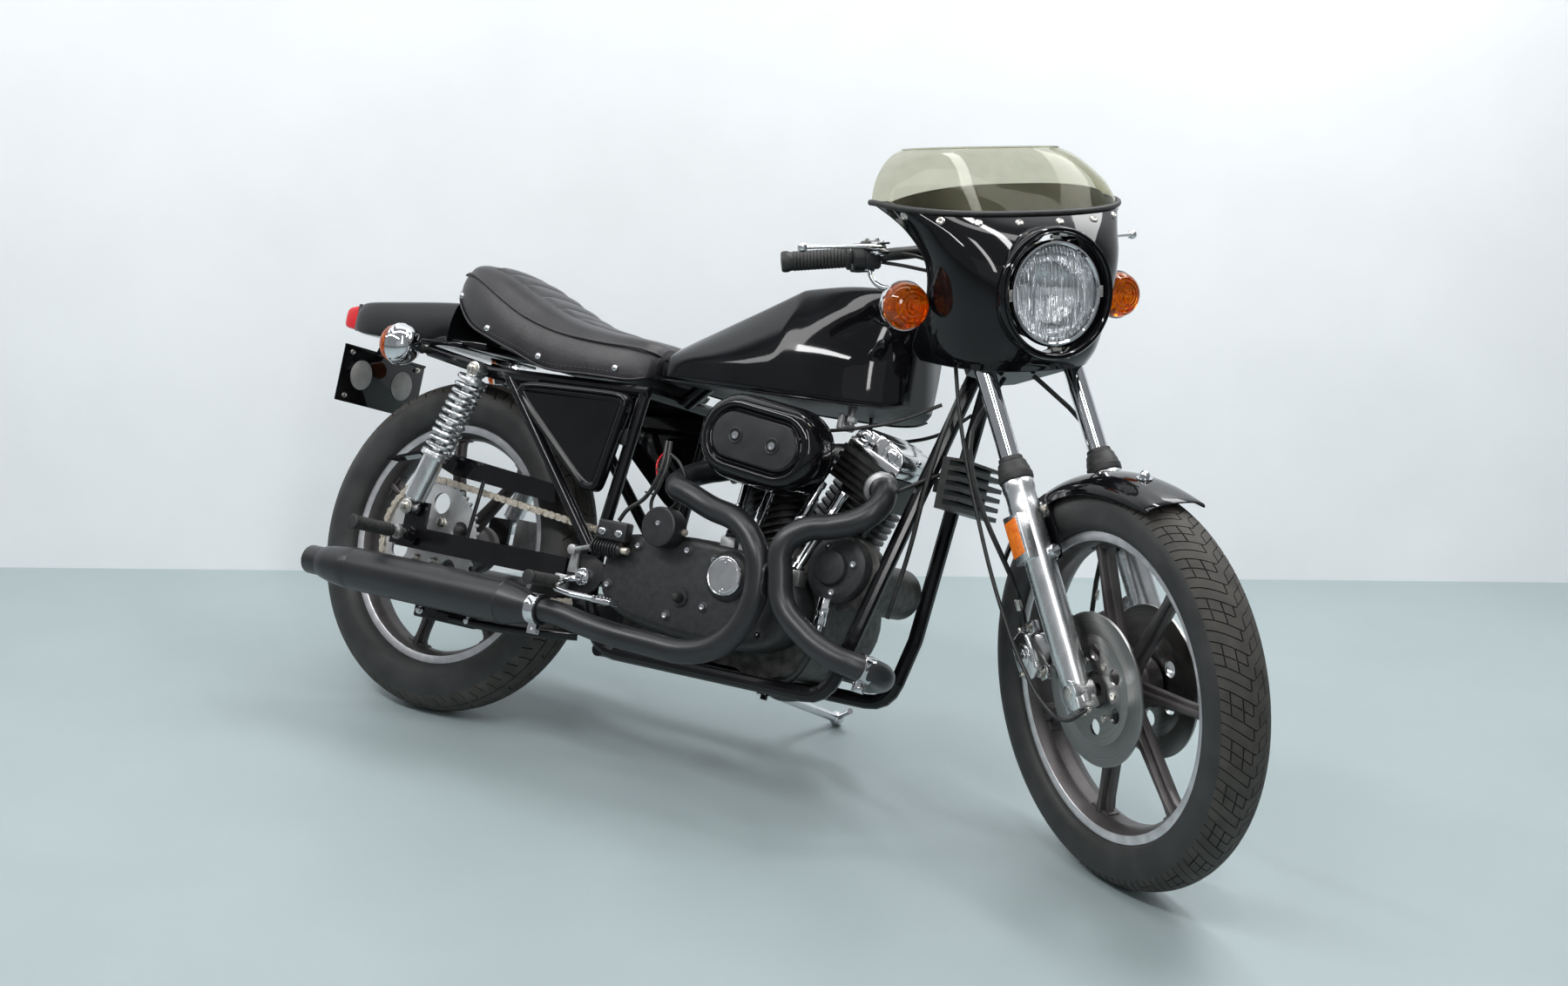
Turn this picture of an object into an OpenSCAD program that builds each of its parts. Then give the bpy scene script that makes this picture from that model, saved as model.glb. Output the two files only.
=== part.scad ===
// Cafe racer motorcycle with a V-twin engine, parked on its side stand.
// The bike is drawn upright, x forward, y to its left, z up, its origin on the floor line under
// the rear axle. rest_pose() then leans it on the stand, levels it and centres it on the floor.

/* [Stance] */
// Distance between the axles
wheelbase = 1486; // [1400:1:1560]
// Angle of the steering head from the vertical, in degrees
rake = 29; // [26:0.5:31]
// Trail of the front wheel
trail = 121; // [100:1:140]
// Lean to the left on the side stand, in degrees
lean = 20; // [12:0.5:22]
// Steering angle to the right at rest, in degrees, which is the steering stop
steer = 35; // [20:1:38]

/* [Wheels] */
// Outer radius of the front tyre
front_tyre_r = 334.5; // [320:0.5:345]
// Outer radius of the rear tyre
rear_tyre_r = 334.5; // [320:0.5:345]
// Width of the front tyre
front_tyre_w = 103; // [90:1:108]
// Width of the rear tyre
rear_tyre_w = 116; // [100:1:124]
// Radius of the front rim's lips
front_rim_r = 255.3; // [245:0.1:262]
// Radius of the rear rim's lips
rear_rim_r = 242.6; // [235:0.1:250]
// Width over the rim's lips
rim_w = 68; // [60:1:80]
// Spokes in each cast wheel
spokes = 7; // [5:1:9]
// Diameter of both axles
axle_d = 19; // [15:0.5:22]
// Radial running clearance of the axles
axle_gap = 0.05; // [0.02:0.01:0.1]

/* [Brakes] */
// Radius of the brake discs
disc_r = 127; // [110:1:140]
// Thickness of the brake discs
disc_t = 5; // [4:0.5:8]
// Half the width of the front hub, which the discs bolt on
front_hub_half = 51.5; // [48:0.5:53]

/* [Fork] */
// Half the distance between the fork tubes
fork_half = 88.5; // [86:0.5:100]
// Diameter of the fork tubes
fork_tube_d = 35; // [32:0.5:41]
// Diameter of the fork's lower legs
fork_leg_d = 52; // [48:1:58]
// Gap between the front tyre and its fender
fender_gap = 12; // [8:1:25]
// Thickness of fairing, fender and tail shells
shell_t = 3; // [2:0.5:5]

/* [Drive] */
// Teeth on the rear sprocket
sprocket_teeth = 48; // [40:1:52]
// Pitch of the chain
chain_pitch = 15.875; // [12.7:0.005:19.05]
// Distance of the chain's middle from the bike's middle
chain_y = 85; // [80:1:90]

/* [Engine] */
// Angle between the cylinders, in degrees
vee = 45; // [40:1:60]
// Forward tilt of the middle of the V, in degrees
vee_tilt = 2; // [0:0.5:6]
// Diameter over the cylinder fins
fin_d = 138; // [120:1:150]
// Diameter of the exhaust pipes
pipe_d = 44; // [36:1:48]
// Diameter of the mufflers
muffler_d = 84; // [70:1:95]
// Diameter of a muffler's outlet
outlet_d = 38; // [30:1:44]
// Depth of a muffler's outlet
outlet_deep = 199; // [120:1:240]

/* [Frame] */
// Diameter of the frame's main tubes
tube_d = 28; // [24:1:32]
// Distance of the cradle tubes from the bike's middle
cradle_y = 112; // [105:1:120]

/* [Hidden] */
$fn = 48;
eps = 0.3;
steel = [0.02, 0.02, 0.022];
alloy = [0.7, 0.7, 0.72];
chrome = [0.85, 0.86, 0.88];
rubber = [0.07, 0.065, 0.06];
wheel_grey = [0.22, 0.21, 0.22];

// Steering axis: a point on it at floor height, its direction, and the fork's lead ahead of it
steer_foot = [wheelbase + trail, 0, 0];
steer_dir = [-sin(rake), 0, cos(rake)];
fork_lead = front_tyre_r * sin(rake) - trail * cos(rake);
axle_s = front_tyre_r * cos(rake) + trail * sin(rake);
front_axle = [wheelbase, 0, front_tyre_r];
rear_axle = [0, 0, rear_tyre_r];

// Tyre sections: an ellipse whose height above the widest point is this share of the half width
crown_share = 0.87;
front_crown = front_tyre_w / 2 * crown_share;
rear_crown = rear_tyre_w / 2 * crown_share;

function about_x(v, a) = [v.x, v.y * cos(a) - v.z * sin(a), v.y * sin(a) + v.z * cos(a)];
function about_y(v, a) = [v.x * cos(a) + v.z * sin(a), v.y, -v.x * sin(a) + v.z * cos(a)];
function about(v, k, a) = v * cos(a) + cross(k, v) * sin(a) + k * (k * v) * (1 - cos(a));
function steered(p) = steer_foot + about(p - steer_foot, steer_dir, -steer);
function leaned(v, pitch) = about_y(about_x(v, -lean), pitch);

// Height of the lowest point of a leaned tyre with middle c, axle direction a, outer radius r
function lowest(c, a, r, half_w, crown, pitch) =
    let (m = leaned(c, pitch), k = leaned(a, pitch).z, s = sqrt(1 - k * k))
    m.z - (r - crown) * s - sqrt(pow(crown * s, 2) + pow(half_w * k, 2));
wheel_axis = about([0, 1, 0], steer_dir, -steer);
function front_low(pitch) =
    lowest(steered(front_axle), wheel_axis, front_tyre_r, front_tyre_w / 2, front_crown, pitch);
function rear_low(pitch) =
    lowest(rear_axle, [0, 1, 0], rear_tyre_r, rear_tyre_w / 2, rear_crown, pitch);
function level(pitch, tries) = tries == 0 ? pitch
    : level(pitch + atan((front_low(pitch) - rear_low(pitch)) / wheelbase), tries - 1);
rest_pitch = level(0, 6);
rest_lift = -rear_low(rest_pitch);
rest_shift = [-682.6, -271, rest_lift];

module rest_pose() translate(rest_shift) rotate([0, rest_pitch, 0]) rotate([-lean, 0, 0]) children();
module steered_pose() rest_pose() translate(steer_foot) rotate(a = -steer, v = steer_dir)
    translate(-steer_foot) children();
// Frame of the fork: origin at the axle, z up along the legs, x forward
module fork_frame() translate(front_axle) rotate([0, -rake, 0]) children();
module both_sides() { children(); mirror([0, 1, 0]) children(); }

// Straight round bar between two points
module bar(p, q, d) {
    v = q - p;
    h = norm(v);
    translate(p) rotate([0, acos(v.z / h), atan2(v.y, v.x)]) cylinder(h = h, d = d);
}
// Bent round bar through corner points
module bars(path, d) sweep(bent(path, d, 2), d, 12);
// Sleeve round a bar between two points
module sleeve(p, q, d, bore) difference() {
    bar(p, q, d);
    bar(p - (q - p), q + (q - p), bore);
}
// Closed skin through rings of points, capped at both ends
module skin(rings) {
    n = len(rings[0]);
    m = len(rings);
    polyhedron([for (r = rings) each r], concat(
        [[for (i = [0:n - 1]) n - 1 - i]],
        [for (j = [0:m - 2], i = [0:n - 1]) let (a = j * n + i, b = j * n + (i + 1) % n) each
            [[a, b, b + n], [a, b + n, a + n]]],
        [[for (i = [0:n - 1]) (m - 1) * n + i]]));
}
// Closed plate between two grids of points, the outer one and the inner one
module plate(outer, inner) {
    m = len(outer);
    n = len(outer[0]);
    inside = m * n;
    polyhedron(concat([for (r = outer) each r], [for (r = inner) each r]), concat(
        [for (i = [0:m - 2], j = [0:n - 2]) let (a = i * n + j) each
            [[a, a + n + 1, a + 1], [a, a + n, a + n + 1]]],
        [for (i = [0:m - 2], j = [0:n - 2]) let (a = inside + i * n + j) each
            [[a, a + 1, a + n + 1], [a, a + n + 1, a + n]]],
        [for (i = [0:m - 2]) let (a = i * n) each
            [[a, a + inside, a + n], [a + n, a + inside, a + n + inside]]],
        [for (i = [0:m - 2]) let (a = i * n + n - 1) each
            [[a, a + n, a + inside], [a + n, a + n + inside, a + inside]]],
        [for (j = [0:n - 2]) each
            [[j, j + 1, j + inside], [j + 1, j + 1 + inside, j + inside]]],
        [for (j = [0:n - 2]) let (a = (m - 1) * n + j) each
            [[a, a + inside, a + 1], [a + 1, a + inside, a + 1 + inside]]]));
}
// Path through corner points, each corner rounded with a bend of about the radius r
function bent(p, r, steps = 4) = concat([p[0]], [for (i = [1:len(p) - 2])
    let (u = unit(p[i - 1] - p[i]), v = unit(p[i + 1] - p[i]),
        cut = min(r * tan((180 - acos(u * v)) / 2), 0.45 * norm(p[i - 1] - p[i]),
            0.45 * norm(p[i + 1] - p[i])))
    for (k = [0:steps]) let (t = k / steps)
        p[i] + u * cut * pow(1 - t, 2) + v * cut * t * t], [p[len(p) - 1]]);
// Smooth curve through the points (Catmull-Rom), with some steps between each two
function spline(p, steps) = concat([for (i = [0:len(p) - 2], k = [0:steps - 1])
    let (t = k / steps, a = p[max(i - 1, 0)], b = p[i], c = p[i + 1], d = p[min(i + 2, len(p) - 1)])
    0.5 * (2 * b + (c - a) * t + (2 * a - 5 * b + 4 * c - d) * t * t
        + (3 * b - a - 3 * c + d) * t * t * t)], [p[len(p) - 1]]);
function unit(v) = v / norm(v);
function tangent(p, i) = unit(p[min(i + 1, len(p) - 1)] - p[max(i - 1, 0)]);
// A direction square to t that turns as little as possible along the path
function carried(p, i, n) = let (t = tangent(p, i)) unit(n - t * (n * t));
function normals(p, start) = [for (i = 0, n = carried(p, 0, start); i < len(p);
    i = i + 1, n = i < len(p) ? carried(p, i, n) : n) n];
// Round tube swept along a path
module sweep(path, d, sides, start = [0.3, 0.2, 0.93]) {
    ns = normals(path, start);
    skin([for (i = [0:len(path) - 1]) let (t = tangent(path, i), n = ns[i], b = cross(t, n))
        [for (k = [0:sides - 1]) let (a = -360 * k / sides) path[i] + (n * cos(a) + b * sin(a)) * d / 2]]);
}

/* ---- Wheels ---- */
// Section of one half of a tyre, from the crown's middle down to the rim
function tyre_half(r, half_w, crown, rim_r, side) = concat(
    [for (a = [0:5:90]) [r - crown + crown * cos(a), side * half_w * sin(a)]],
    [for (a = [15:15:90]) [r - crown - (r - crown - rim_r - eps) * sin(a),
        side * (rim_w / 2 + 2 + (half_w - rim_w / 2 - 2) * cos(a))]],
    [[rim_r + eps, side * (rim_w / 2 - 4.5)], [rim_r - 13, side * (rim_w / 2 - 4.5)]]);
module tyre(r, half_w, rim_r) {
    crown = half_w * crown_share;
    right = tyre_half(r, half_w, crown, rim_r, 1);
    left = tyre_half(r, half_w, crown, rim_r, -1);
    rotate([90, 0, 0]) rotate_extrude($fn = 128)
        polygon(concat(right, [for (i = [len(left) - 1:-1:1]) left[i]]));
}
// Cast wheel: lipped rim, hub and spokes, with a running bore for the axle
module cast_wheel(rim_r, hub_r, hub_half, bore_r) {
    half = rim_w / 2;
    bed = rim_r - 13 - eps;
    difference() {
        union() {
            rotate([90, 0, 0]) rotate_extrude($fn = 128) polygon([
                [rim_r, half], [rim_r, half - 4.2], [bed, half - 4.2], [bed, 4.2 - half],
                [rim_r, 4.2 - half], [rim_r, -half], [rim_r - 16, -half], [bed - 8, 9 - half],
                [bed - 14, -12], [bed - 14, 12], [bed - 8, half - 9], [rim_r - 16, half]]);
            rotate([90, 0, 0]) cylinder(r = hub_r, h = 2 * hub_half, center = true);
            for (i = [0:spokes - 1]) rotate([0, 360 * i / spokes, 0]) spoke(bed - 7, hub_r);
        }
        rotate([90, 0, 0]) cylinder(r = bore_r, h = 2 * hub_half + 2, center = true);
    }
}
// One spoke: a web with a rib on each face
module spoke(reach, hub_r) {
    root = hub_r * sin(180 / spokes) - 1.5;
    rotate([90, 0, 0]) linear_extrude(height = 12, center = true)
        polygon([[hub_r - 6, -root], [reach, -13], [reach, 13], [hub_r - 6, root]]);
    rotate([90, 0, 0]) linear_extrude(height = 34, center = true)
        polygon([[hub_r - 6, -7], [reach, -4], [reach, 4], [hub_r - 6, 7]]);
}
module brake_disc(y, hole) {
    translate([0, y, 0]) rotate([90, 0, 0]) difference() {
        cylinder(r = disc_r, h = disc_t, center = true, $fn = 96);
        cylinder(r = hole, h = disc_t + 2, center = true);
        for (i = [0:5]) rotate([0, 0, 60 * i + 30]) translate([66, 0, 0])
            cylinder(r = 13, h = disc_t + 2, center = true);
    }
}
front_disc_y = front_hub_half + disc_t / 2;
rear_disc_y = chain_y;
module front_wheel() color(wheel_grey) steered_pose() translate(front_axle)
    cast_wheel(front_rim_r, 44, front_hub_half, axle_d / 2 + axle_gap);
module front_tyre() color(rubber) steered_pose() translate(front_axle)
    tyre(front_tyre_r, front_tyre_w / 2, front_rim_r);
module front_discs() color("dimgray") steered_pose() translate(front_axle) {
    brake_disc(front_disc_y, 30);
    brake_disc(-front_disc_y, 30);
}
rear_hub_half = chain_y - 5;
module rear_wheel() color(wheel_grey) rest_pose() translate(rear_axle) {
    cast_wheel(rear_rim_r, 48, rear_hub_half, axle_d / 2 + axle_gap);
    difference() {
        brake_disc(rear_hub_half + disc_t / 2, axle_d / 2 + axle_gap);
        rotate([90, 0, 0]) cylinder(r = axle_d / 2 + axle_gap, h = 400, center = true);
    }
}
module rear_tyre() color(rubber) rest_pose() translate(rear_axle)
    tyre(rear_tyre_r, rear_tyre_w / 2, rear_rim_r);

/* ---- Drive ---- */
sprocket_pr = chain_pitch / (2 * sin(180 / sprocket_teeth));
drive_pr = chain_pitch / (2 * sin(180 / 21));
drive_axle = [520, -chain_y, 352];
roller_r = 5.1;
sprocket_t = 7;
module rear_sprocket() color(alloy) rest_pose() translate(rear_axle + [0, -chain_y, 0])
    rotate([90, 0, 0]) difference() {
        union() {
            cylinder(r = sprocket_pr - roller_r - eps, h = sprocket_t, center = true, $fn = 96);
            translate([0, 0, -5]) cylinder(r = 48, h = 5);
        }
        cylinder(r = axle_d / 2 + axle_gap, h = 30, center = true);
        for (i = [0:5]) rotate([0, 0, 60 * i + 20]) translate([75, 0, 0])
            cylinder(r = 22, h = 30, center = true);
    }
// Outline of the belt round both sprockets, offset from the pitch line
module chain_outline(off) {
    dx = drive_axle.x - rear_axle.x;
    dz = drive_axle.z - rear_axle.z;
    tilt = atan2(dz, dx);
    spread = acos((sprocket_pr - drive_pr) / norm([dx, dz]));
    polygon(concat(
        [for (k = [0:32]) let (a = tilt + spread + k / 32 * (360 - 2 * spread))
            (sprocket_pr + off) * [cos(a), sin(a)]],
        [for (k = [0:16]) let (a = tilt - spread + k / 16 * 2 * spread)
            [dx, dz] + (drive_pr + off) * [cos(a), sin(a)]]));
}
module chain() color([0.72, 0.64, 0.5]) rest_pose() translate(rear_axle + [0, -chain_y, 0])
    rotate([90, 0, 0]) {
        difference() {
            linear_extrude(height = 18, center = true) chain_outline(7.5);
            linear_extrude(height = 20, center = true) chain_outline(-7.5);
            // the sprocket's rim runs between the side plates
            linear_extrude(height = sprocket_t + 1.4, center = true) chain_outline(-5 + 0.2);
        }
    }
module chain_guard() color(steel) rest_pose() {
    translate([0, -chain_y, 0]) rotate([90, 0, 0]) linear_extrude(height = 34, center = true)
        polygon([[-142, 478], [-60, 499], [40, 503], [300, 480], [302, 484], [300, 487], [40, 510],
            [-62, 506], [-142, 482]]);
    translate([0, -chain_y - 15.5, 0]) rotate([90, 0, 0]) linear_extrude(height = 3)
        polygon([[-60, 501], [40, 505], [300, 482], [305, 452], [40, 470]]);
    bar([120, -arm_y + 6, 355.4], [120, -101, 470], 8);
}

/* ---- Frame ---- */
neck_low = 610;
neck_high = 735;
function on_neck(s) = front_axle + steer_dir * s + [-cos(rake), 0, -sin(rake)] * fork_lead;
pivot = [435, 0, 335];
pivot_d = 20;
shock_top = [92, 152, 678];
shock_low = [-8, 152, 392];
seat_rail_z = 681;
// Height of the backbone's middle at a place along the bike
backbone_rear = [540, 0, 750];
function backbone_z(x) = let (q = on_neck(670), slope = (q.z - backbone_rear.z) / (q.x - backbone_rear.x))
    backbone_rear.z + slope * (x - backbone_rear.x);
module frame() color(steel) rest_pose() {
    difference() {
        union() {
            bar(on_neck(neck_low), on_neck(neck_high), 56);
            bar(on_neck(670), backbone_rear, 42);
            bar([552, 0, 748], [486, 0, seat_rail_z + 4], 32);
            both_sides() frame_side();
            bar([474, -cradle_y, seat_rail_z + 4], [474, cradle_y, seat_rail_z + 4], 26);
            bar([100, -cradle_y, seat_rail_z], [100, cradle_y, seat_rail_z], 22);
            bar([480, -cradle_y, 200], [480, cradle_y, 200], 26);
            bar([850, -cradle_y, 202], [850, cradle_y, 202], 24);
            // pads the engine stands on
            both_sides() {
                translate([480, 40, 205]) cube([40, 30, 16.7]);
                translate([838, 40, 205]) cube([24, 30, 9.9]);
            }
            // bracket and pin of the side stand
            on_stand_pivot() translate([-18, -34, 11]) cube([36, 48, 9]);
            on_stand_pivot() translate([0, 0, -18]) cylinder(d = stand_pin_d, h = 32);
        }
        bar(on_neck(neck_low - 1), on_neck(neck_high + 1), 30);
    }
}
stand_pivot = [700, 140, 180];
stand_pin_d = 14;
// Frame of the side stand's hinge, z along its pin
module on_stand_pivot() translate(stand_pivot) rotate([-8.7, -1.2, 0]) children();
downtube_top = on_neck(neck_low + 24) + [-20, 20, -8];
module frame_side() {
    sweep(bent([downtube_top, [1012, cradle_y - 4, 330], [978, cradle_y, 204], [480, cradle_y, 200],
        [440, cradle_y + 8, 300]], 60), tube_d, 12);
    sweep(bent([[482, cradle_y, seat_rail_z + 4], [100, cradle_y, seat_rail_z],
        [-90, cradle_y - 14, 709.3]], 60), 25, 12);
    bar([472, cradle_y, seat_rail_z + 3], [440, cradle_y + 8, 380], 24);
    bar([140, cradle_y, seat_rail_z], [430, cradle_y + 8, 372], 24);
    translate([442, cradle_y + 15, 315]) rotate([90, 0, 0]) difference() {
        linear_extrude(height = 14)
            polygon([[-36, 60], [12, 84], [16, -70], [-20, -60], [-44, -10]]);
        translate([pivot.x - 442, pivot.z - 315, -1]) cylinder(d = pivot_d + 2 * axle_gap, h = 20);
    }
    bar([shock_top.x, cradle_y, shock_top.z], [shock_top.x, shock_top.y + 16, shock_top.z], 16);
}
arm_y = 122;
module swingarm() color(steel) rest_pose() {
    both_sides() {
        translate([-45, arm_y - 14, 313]) cube([430, 26, 42]);
        translate([-62, arm_y - 14, 316]) cube([20, 26, 36]);
        translate([355, 80, 316]) cube([30, arm_y - 70, 36]);
        translate([355, 80, 316]) cube([72, 20, 36]);
        translate([-36, arm_y + 2, 350]) cube([56, 8, 56]);
        bar([shock_low.x, arm_y + 8, shock_low.z], [shock_low.x, shock_low.y + 15, shock_low.z], 14);
        translate(rear_axle + [0, arm_y + 12, 0]) rotate([-90, 0, 0]) cylinder(d = 34, h = 10, $fn = 6);
        translate(rear_axle + [0, chain_y + 6, 0]) rotate([-90, 0, 0])
            cylinder(d = 30, h = arm_y - chain_y - 19.5);
    }
    translate([357, -90, 318]) cube([26, 180, 32]);
    translate(pivot) rotate([90, 0, 0]) cylinder(d = 44, h = 2 * cradle_y - 24, center = true);
    translate(pivot) rotate([90, 0, 0]) cylinder(d = pivot_d, h = 2 * cradle_y + 30, center = true);
    translate(rear_axle) rotate([90, 0, 0]) cylinder(d = axle_d, h = 2 * arm_y + 50, center = true);
}

/* ---- Engine ---- */
crank = [815, 0, 335];
case_r = 122;
shelf = 108;
module crankcase() color([0.1, 0.1, 0.1]) rest_pose() {
    translate(crank) rotate([90, 0, 0]) cylinder(r = case_r, h = 176, center = true);
    translate([470 + 25, -72, 222]) cube([320, 160, 165]);
    translate([600, -88, 222]) cube([210, 20, 180]);
    translate([830, -88, 300]) cube([shelf, 176, 120]);
    // generator ahead of the case
    translate([978, 0, 406]) rotate([90, 0, 0]) cylinder(d = 92, h = 150, center = true);
}
module gear_cover() color([0.06, 0.06, 0.06]) rest_pose() {
    translate([0, -105, 0]) rotate([90, 0, 0]) linear_extrude(height = 42) gear_outline();
    // behind the chain the cover reaches the case
    translate([0, -88 - eps, 0]) rotate([90, 0, 0]) linear_extrude(height = 17)
        polygon([[606, 400], [606, 268], [848, 262], [903, 330], [880, 395], [800, 430], [640, 428]]);
    translate([756, -146.9, 378]) rotate([90, 0, 0]) cylinder(r = 36, h = 16);
    translate([955, -88.3, 428]) rotate([90, 0, 0]) cylinder(r = 56, h = 37);
    translate([955, -125, 428]) rotate([90, 0, 0]) cylinder(r = 44, h = 28);
}
module gear_outline() offset(r = 14) polygon([[482, 372], [478, 300], [560, 268], [700, 262], [850, 262],
    [905, 330], [880, 395], [800, 432], [640, 430], [560, 385]]);
module primary_cover() color([0.06, 0.06, 0.06]) rest_pose() translate([0, 88.3, 0])
    rotate([-90, 0, 0]) {
        hull() {
            translate([815, -335, 0]) cylinder(r = 112, h = 50);
            translate([560, -330, 0]) cylinder(r = 92, h = 50);
        }
        translate([815, -335, 50]) cylinder(r = 70, h = 12);
    }
// Frame of a cylinder: origin at the crank, z up along the bore
module jug(side) translate(crank) rotate([0, vee_tilt + side * vee / 2, 0]) children();
module jug_body() {
    translate([0, 0, 100]) cylinder(d = 104, h = 200);
    for (i = [0:9]) translate([0, 0, 128 + 13 * i]) cylinder(d = fin_d, h = 4);
    difference() {
        translate([-62, -66, 258]) cube([124, 132, 62]);
        for (i = [0:3]) translate([-80, -80, 264 + 13 * i]) cube([160, 24, 6]);
        for (i = [0:3]) translate([-80, 56, 264 + 13 * i]) cube([160, 24, 6]);
    }
}
vee_plane = crank.x + 7;
module front_cylinder() color([0.05, 0.05, 0.05]) rest_pose() difference() {
    jug(1) jug_body();
    case_cut();
    translate([vee_plane - 200, -200, 300]) cube([200 + eps, 400, 400]);
}
module rear_cylinder() color([0.05, 0.05, 0.05]) rest_pose() difference() {
    jug(-1) jug_body();
    case_cut();
    translate([vee_plane, -200, 300]) cube([200, 400, 400]);
}
// The crankcase's top, cut out of the cylinders so that they stand on it
module case_cut() {
    translate(crank) rotate([90, 0, 0]) cylinder(r = case_r + eps, h = 180, center = true);
    translate([830 - eps, -90, 200]) cube([shelf + 2 * eps, 180, 220 + eps]);
}
module rocker_boxes() color(alloy) rest_pose() {
    for (side = [-1, 1]) jug(side) {
        translate([-52, -60, 320 + eps]) cube([104, 120, 34]);
        translate([-40, -52, 354 + eps]) cube([80, 104, 14]);
    }
    // pushrod tubes from the cam chest to the heads
    bar([735, -128, 449.7], [712, -77, 560], 16);
    bar([775, -128, 449.7], [768, -77, 560], 16);
    bar([842, -128, 432.8], [866, -77, 575], 16);
    bar([880, -128, 414], [915, -77, 560], 16);
}
module carburettor() color(alloy) rest_pose() {
    bar([824, 10, 628], [824, -112, 628], 42);
    translate([798, -108, 594]) cube([52, 44, 68]);
    bar([776.4, 0, 628], [868, 0, 640], 34);
}
module air_cleaner() color(steel) rest_pose() translate([778, -112.3, 620]) rotate([90, -7, 0]) {
    linear_extrude(height = 62) offset(r = 78) square([100, 0.1], center = true);
    translate([0, 0, 62]) linear_extrude(height = 12) offset(r = 62) square([96, 0.1], center = true);
}
muffler_axis_z = 252;
header_rear = spline([[656.4, -40, 580], [647, -40, 576.5], [637, -41, 572.7], [614, -68, 560],
    [598, -105, 541], [606, -142, 520], [640, -152, 511], [698, -160, 493], [781, -180, 474],
    [828, -190, 436], [846, -190, 384], [838, -190, 322], [806, -190, 270], [745, -190, 238], [640, -192, 234],
    [520, -196, 241], [440, -200, muffler_axis_z], [410, -200, muffler_axis_z],
    [372, -200, muffler_axis_z]], 2);
header_front = spline([[985, -78, 580], [1012, -105, 572], [1018, -128, 545], [996, -148, 515],
    [955, -162, 496], [915, -176, 484], [884, -190, 450], [893, -190, 395], [905, -190, 350],
    [952, -190, 311], [1015, -186, 281], [1058, -170, 272], [1082, -135, 266], [1068, -90, 258],
    [1025, -35, 250], [980, 28, 245], [940, 92, 243], [920, 132, 243], [893, 168, 245],
    [830, 192, 249], [640, 200, muffler_axis_z], [440, 200, muffler_axis_z],
    [410, 200, muffler_axis_z], [372, 200, muffler_axis_z]], 2);
module exhaust_headers() color([0.08, 0.08, 0.085]) rest_pose() {
    sweep(header_rear, pipe_d, 12);
    sweep(header_front, pipe_d, 12);
}
module mufflers() color([0.08, 0.08, 0.085]) rest_pose() both_sides() translate([0, 200, muffler_axis_z])
    rotate([0, 90, 0]) translate([0, 0, -195]) difference() {
        rotate_extrude() polygon([[0, 0], [26, 0], [30, 14], [muffler_d / 2 - 4, 40],
            [muffler_d / 2, 60], [muffler_d / 2, 540], [30, 590], [26, 600], [0, 600]]);
        translate([0, 0, -1]) cylinder(d = outlet_d, h = outlet_deep + 1);
        translate([0, 0, 560]) cylinder(d = pipe_d + 2 * eps, h = 60);
    }
module regulator() color([0.04, 0.04, 0.04]) rest_pose() {
    translate([1097, -80, 562]) difference() {
        cube([42, 160, 90]);
        for (i = [0:4]) translate([14, -1, 8 + 17 * i]) cube([40, 162, 9]);
    }
    both_sides() translate([1079.1, 50, 590]) cube([18.1, 12, 24]);
}

/* ---- Body ---- */
module side_covers() color([0.03, 0.03, 0.03]) rest_pose() both_sides() {
    translate([450, cradle_y + 14.7, 580]) cube([14, 8, 30]);
    translate([0, cradle_y + 20, 0]) rotate([-90, 0, 0]) mirror([0, 1, 0]) difference() {
        linear_extrude(height = 26) offset(r = 16)
            polygon([[212, 655], [450, 660], [424, 500], [400, 500]]);
        translate([0, 0, -1]) linear_extrude(height = 15) offset(r = 10)
            polygon([[212, 655], [450, 660], [424, 500], [400, 500]]);
    }
}
// Tank stations: x, half width, bottom, height of the widest line, top, half width of the top
tank_stations = [[472, 60, 722, 740, 765, 30], [500, 105, 716, 745, 795, 52], [600, 118, 714, 752, 838, 70],
    [700, 132, 712, 762, 880, 84], [780, 143, 711, 775, 918, 92], [835, 145, 710, 782, 931, 90],
    [885, 138, 711, 787, 936, 82], [930, 118, 713, 792, 937, 68], [962, 92, 718, 797, 935, 54],
    [985, 68, 726, 802, 930, 42]];
function tank_ring(s) = let (x = s[0], w = s[1], b = s[2], m = s[3], t = s[4], tw = s[5],
    half = [[0, t], [tw * 0.6, t - 2], [tw, t - 12], [tw + (w - tw) * 0.55, (t + m) / 2 + 6], [w, m + 8],
        [w, m - 10], [w - 6, b + 6], [w - 14, b], [36, b], [30, backbone_z(x) + 26]])
    concat([for (p = half) [x, p[0], p[1]]], [for (i = [len(half) - 1:-1:1]) [x, -half[i][0], half[i][1]]]);
module fuel_tank() color([0.02, 0.02, 0.02]) rest_pose() {
    skin([for (s = tank_stations) tank_ring(s)]);
    translate([700, 0, 878]) cylinder(d = 62, h = 20);
}
// Upholstery stations: x, half width, bottom, shoulder height, top
seat_stations = [[-52, 84, 838, 866, 888], [-20, 112, 800, 868, 902], [30, 128, 762, 850, 900],
    [90, 138, 742, 822, 880], [160, 142, 722, 795, 850], [250, 144, 695.8, 775, 812],
    [350, 142, 696.8, 765, 796], [430, 130, 697.8, 764, 794], [468, 106, 712, 762, 788]];
function seat_ring(s) = let (x = s[0], w = s[1], b = s[2], m = s[3], t = s[4],
    half = [[0, t], [w * 0.45, t - 1], [w * 0.75, (t + m) / 2 + 4], [w * 0.93, m], [w, b + 18], [w - 2, b],
        [0, b]])
    concat([for (p = half) [x, p[0], p[1]]], [for (i = [len(half) - 2:-1:1]) [x, -half[i][0], half[i][1]]]);
module seat() color([0.06, 0.055, 0.055]) rest_pose() skin([for (s = seat_stations) seat_ring(s)]);
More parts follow.
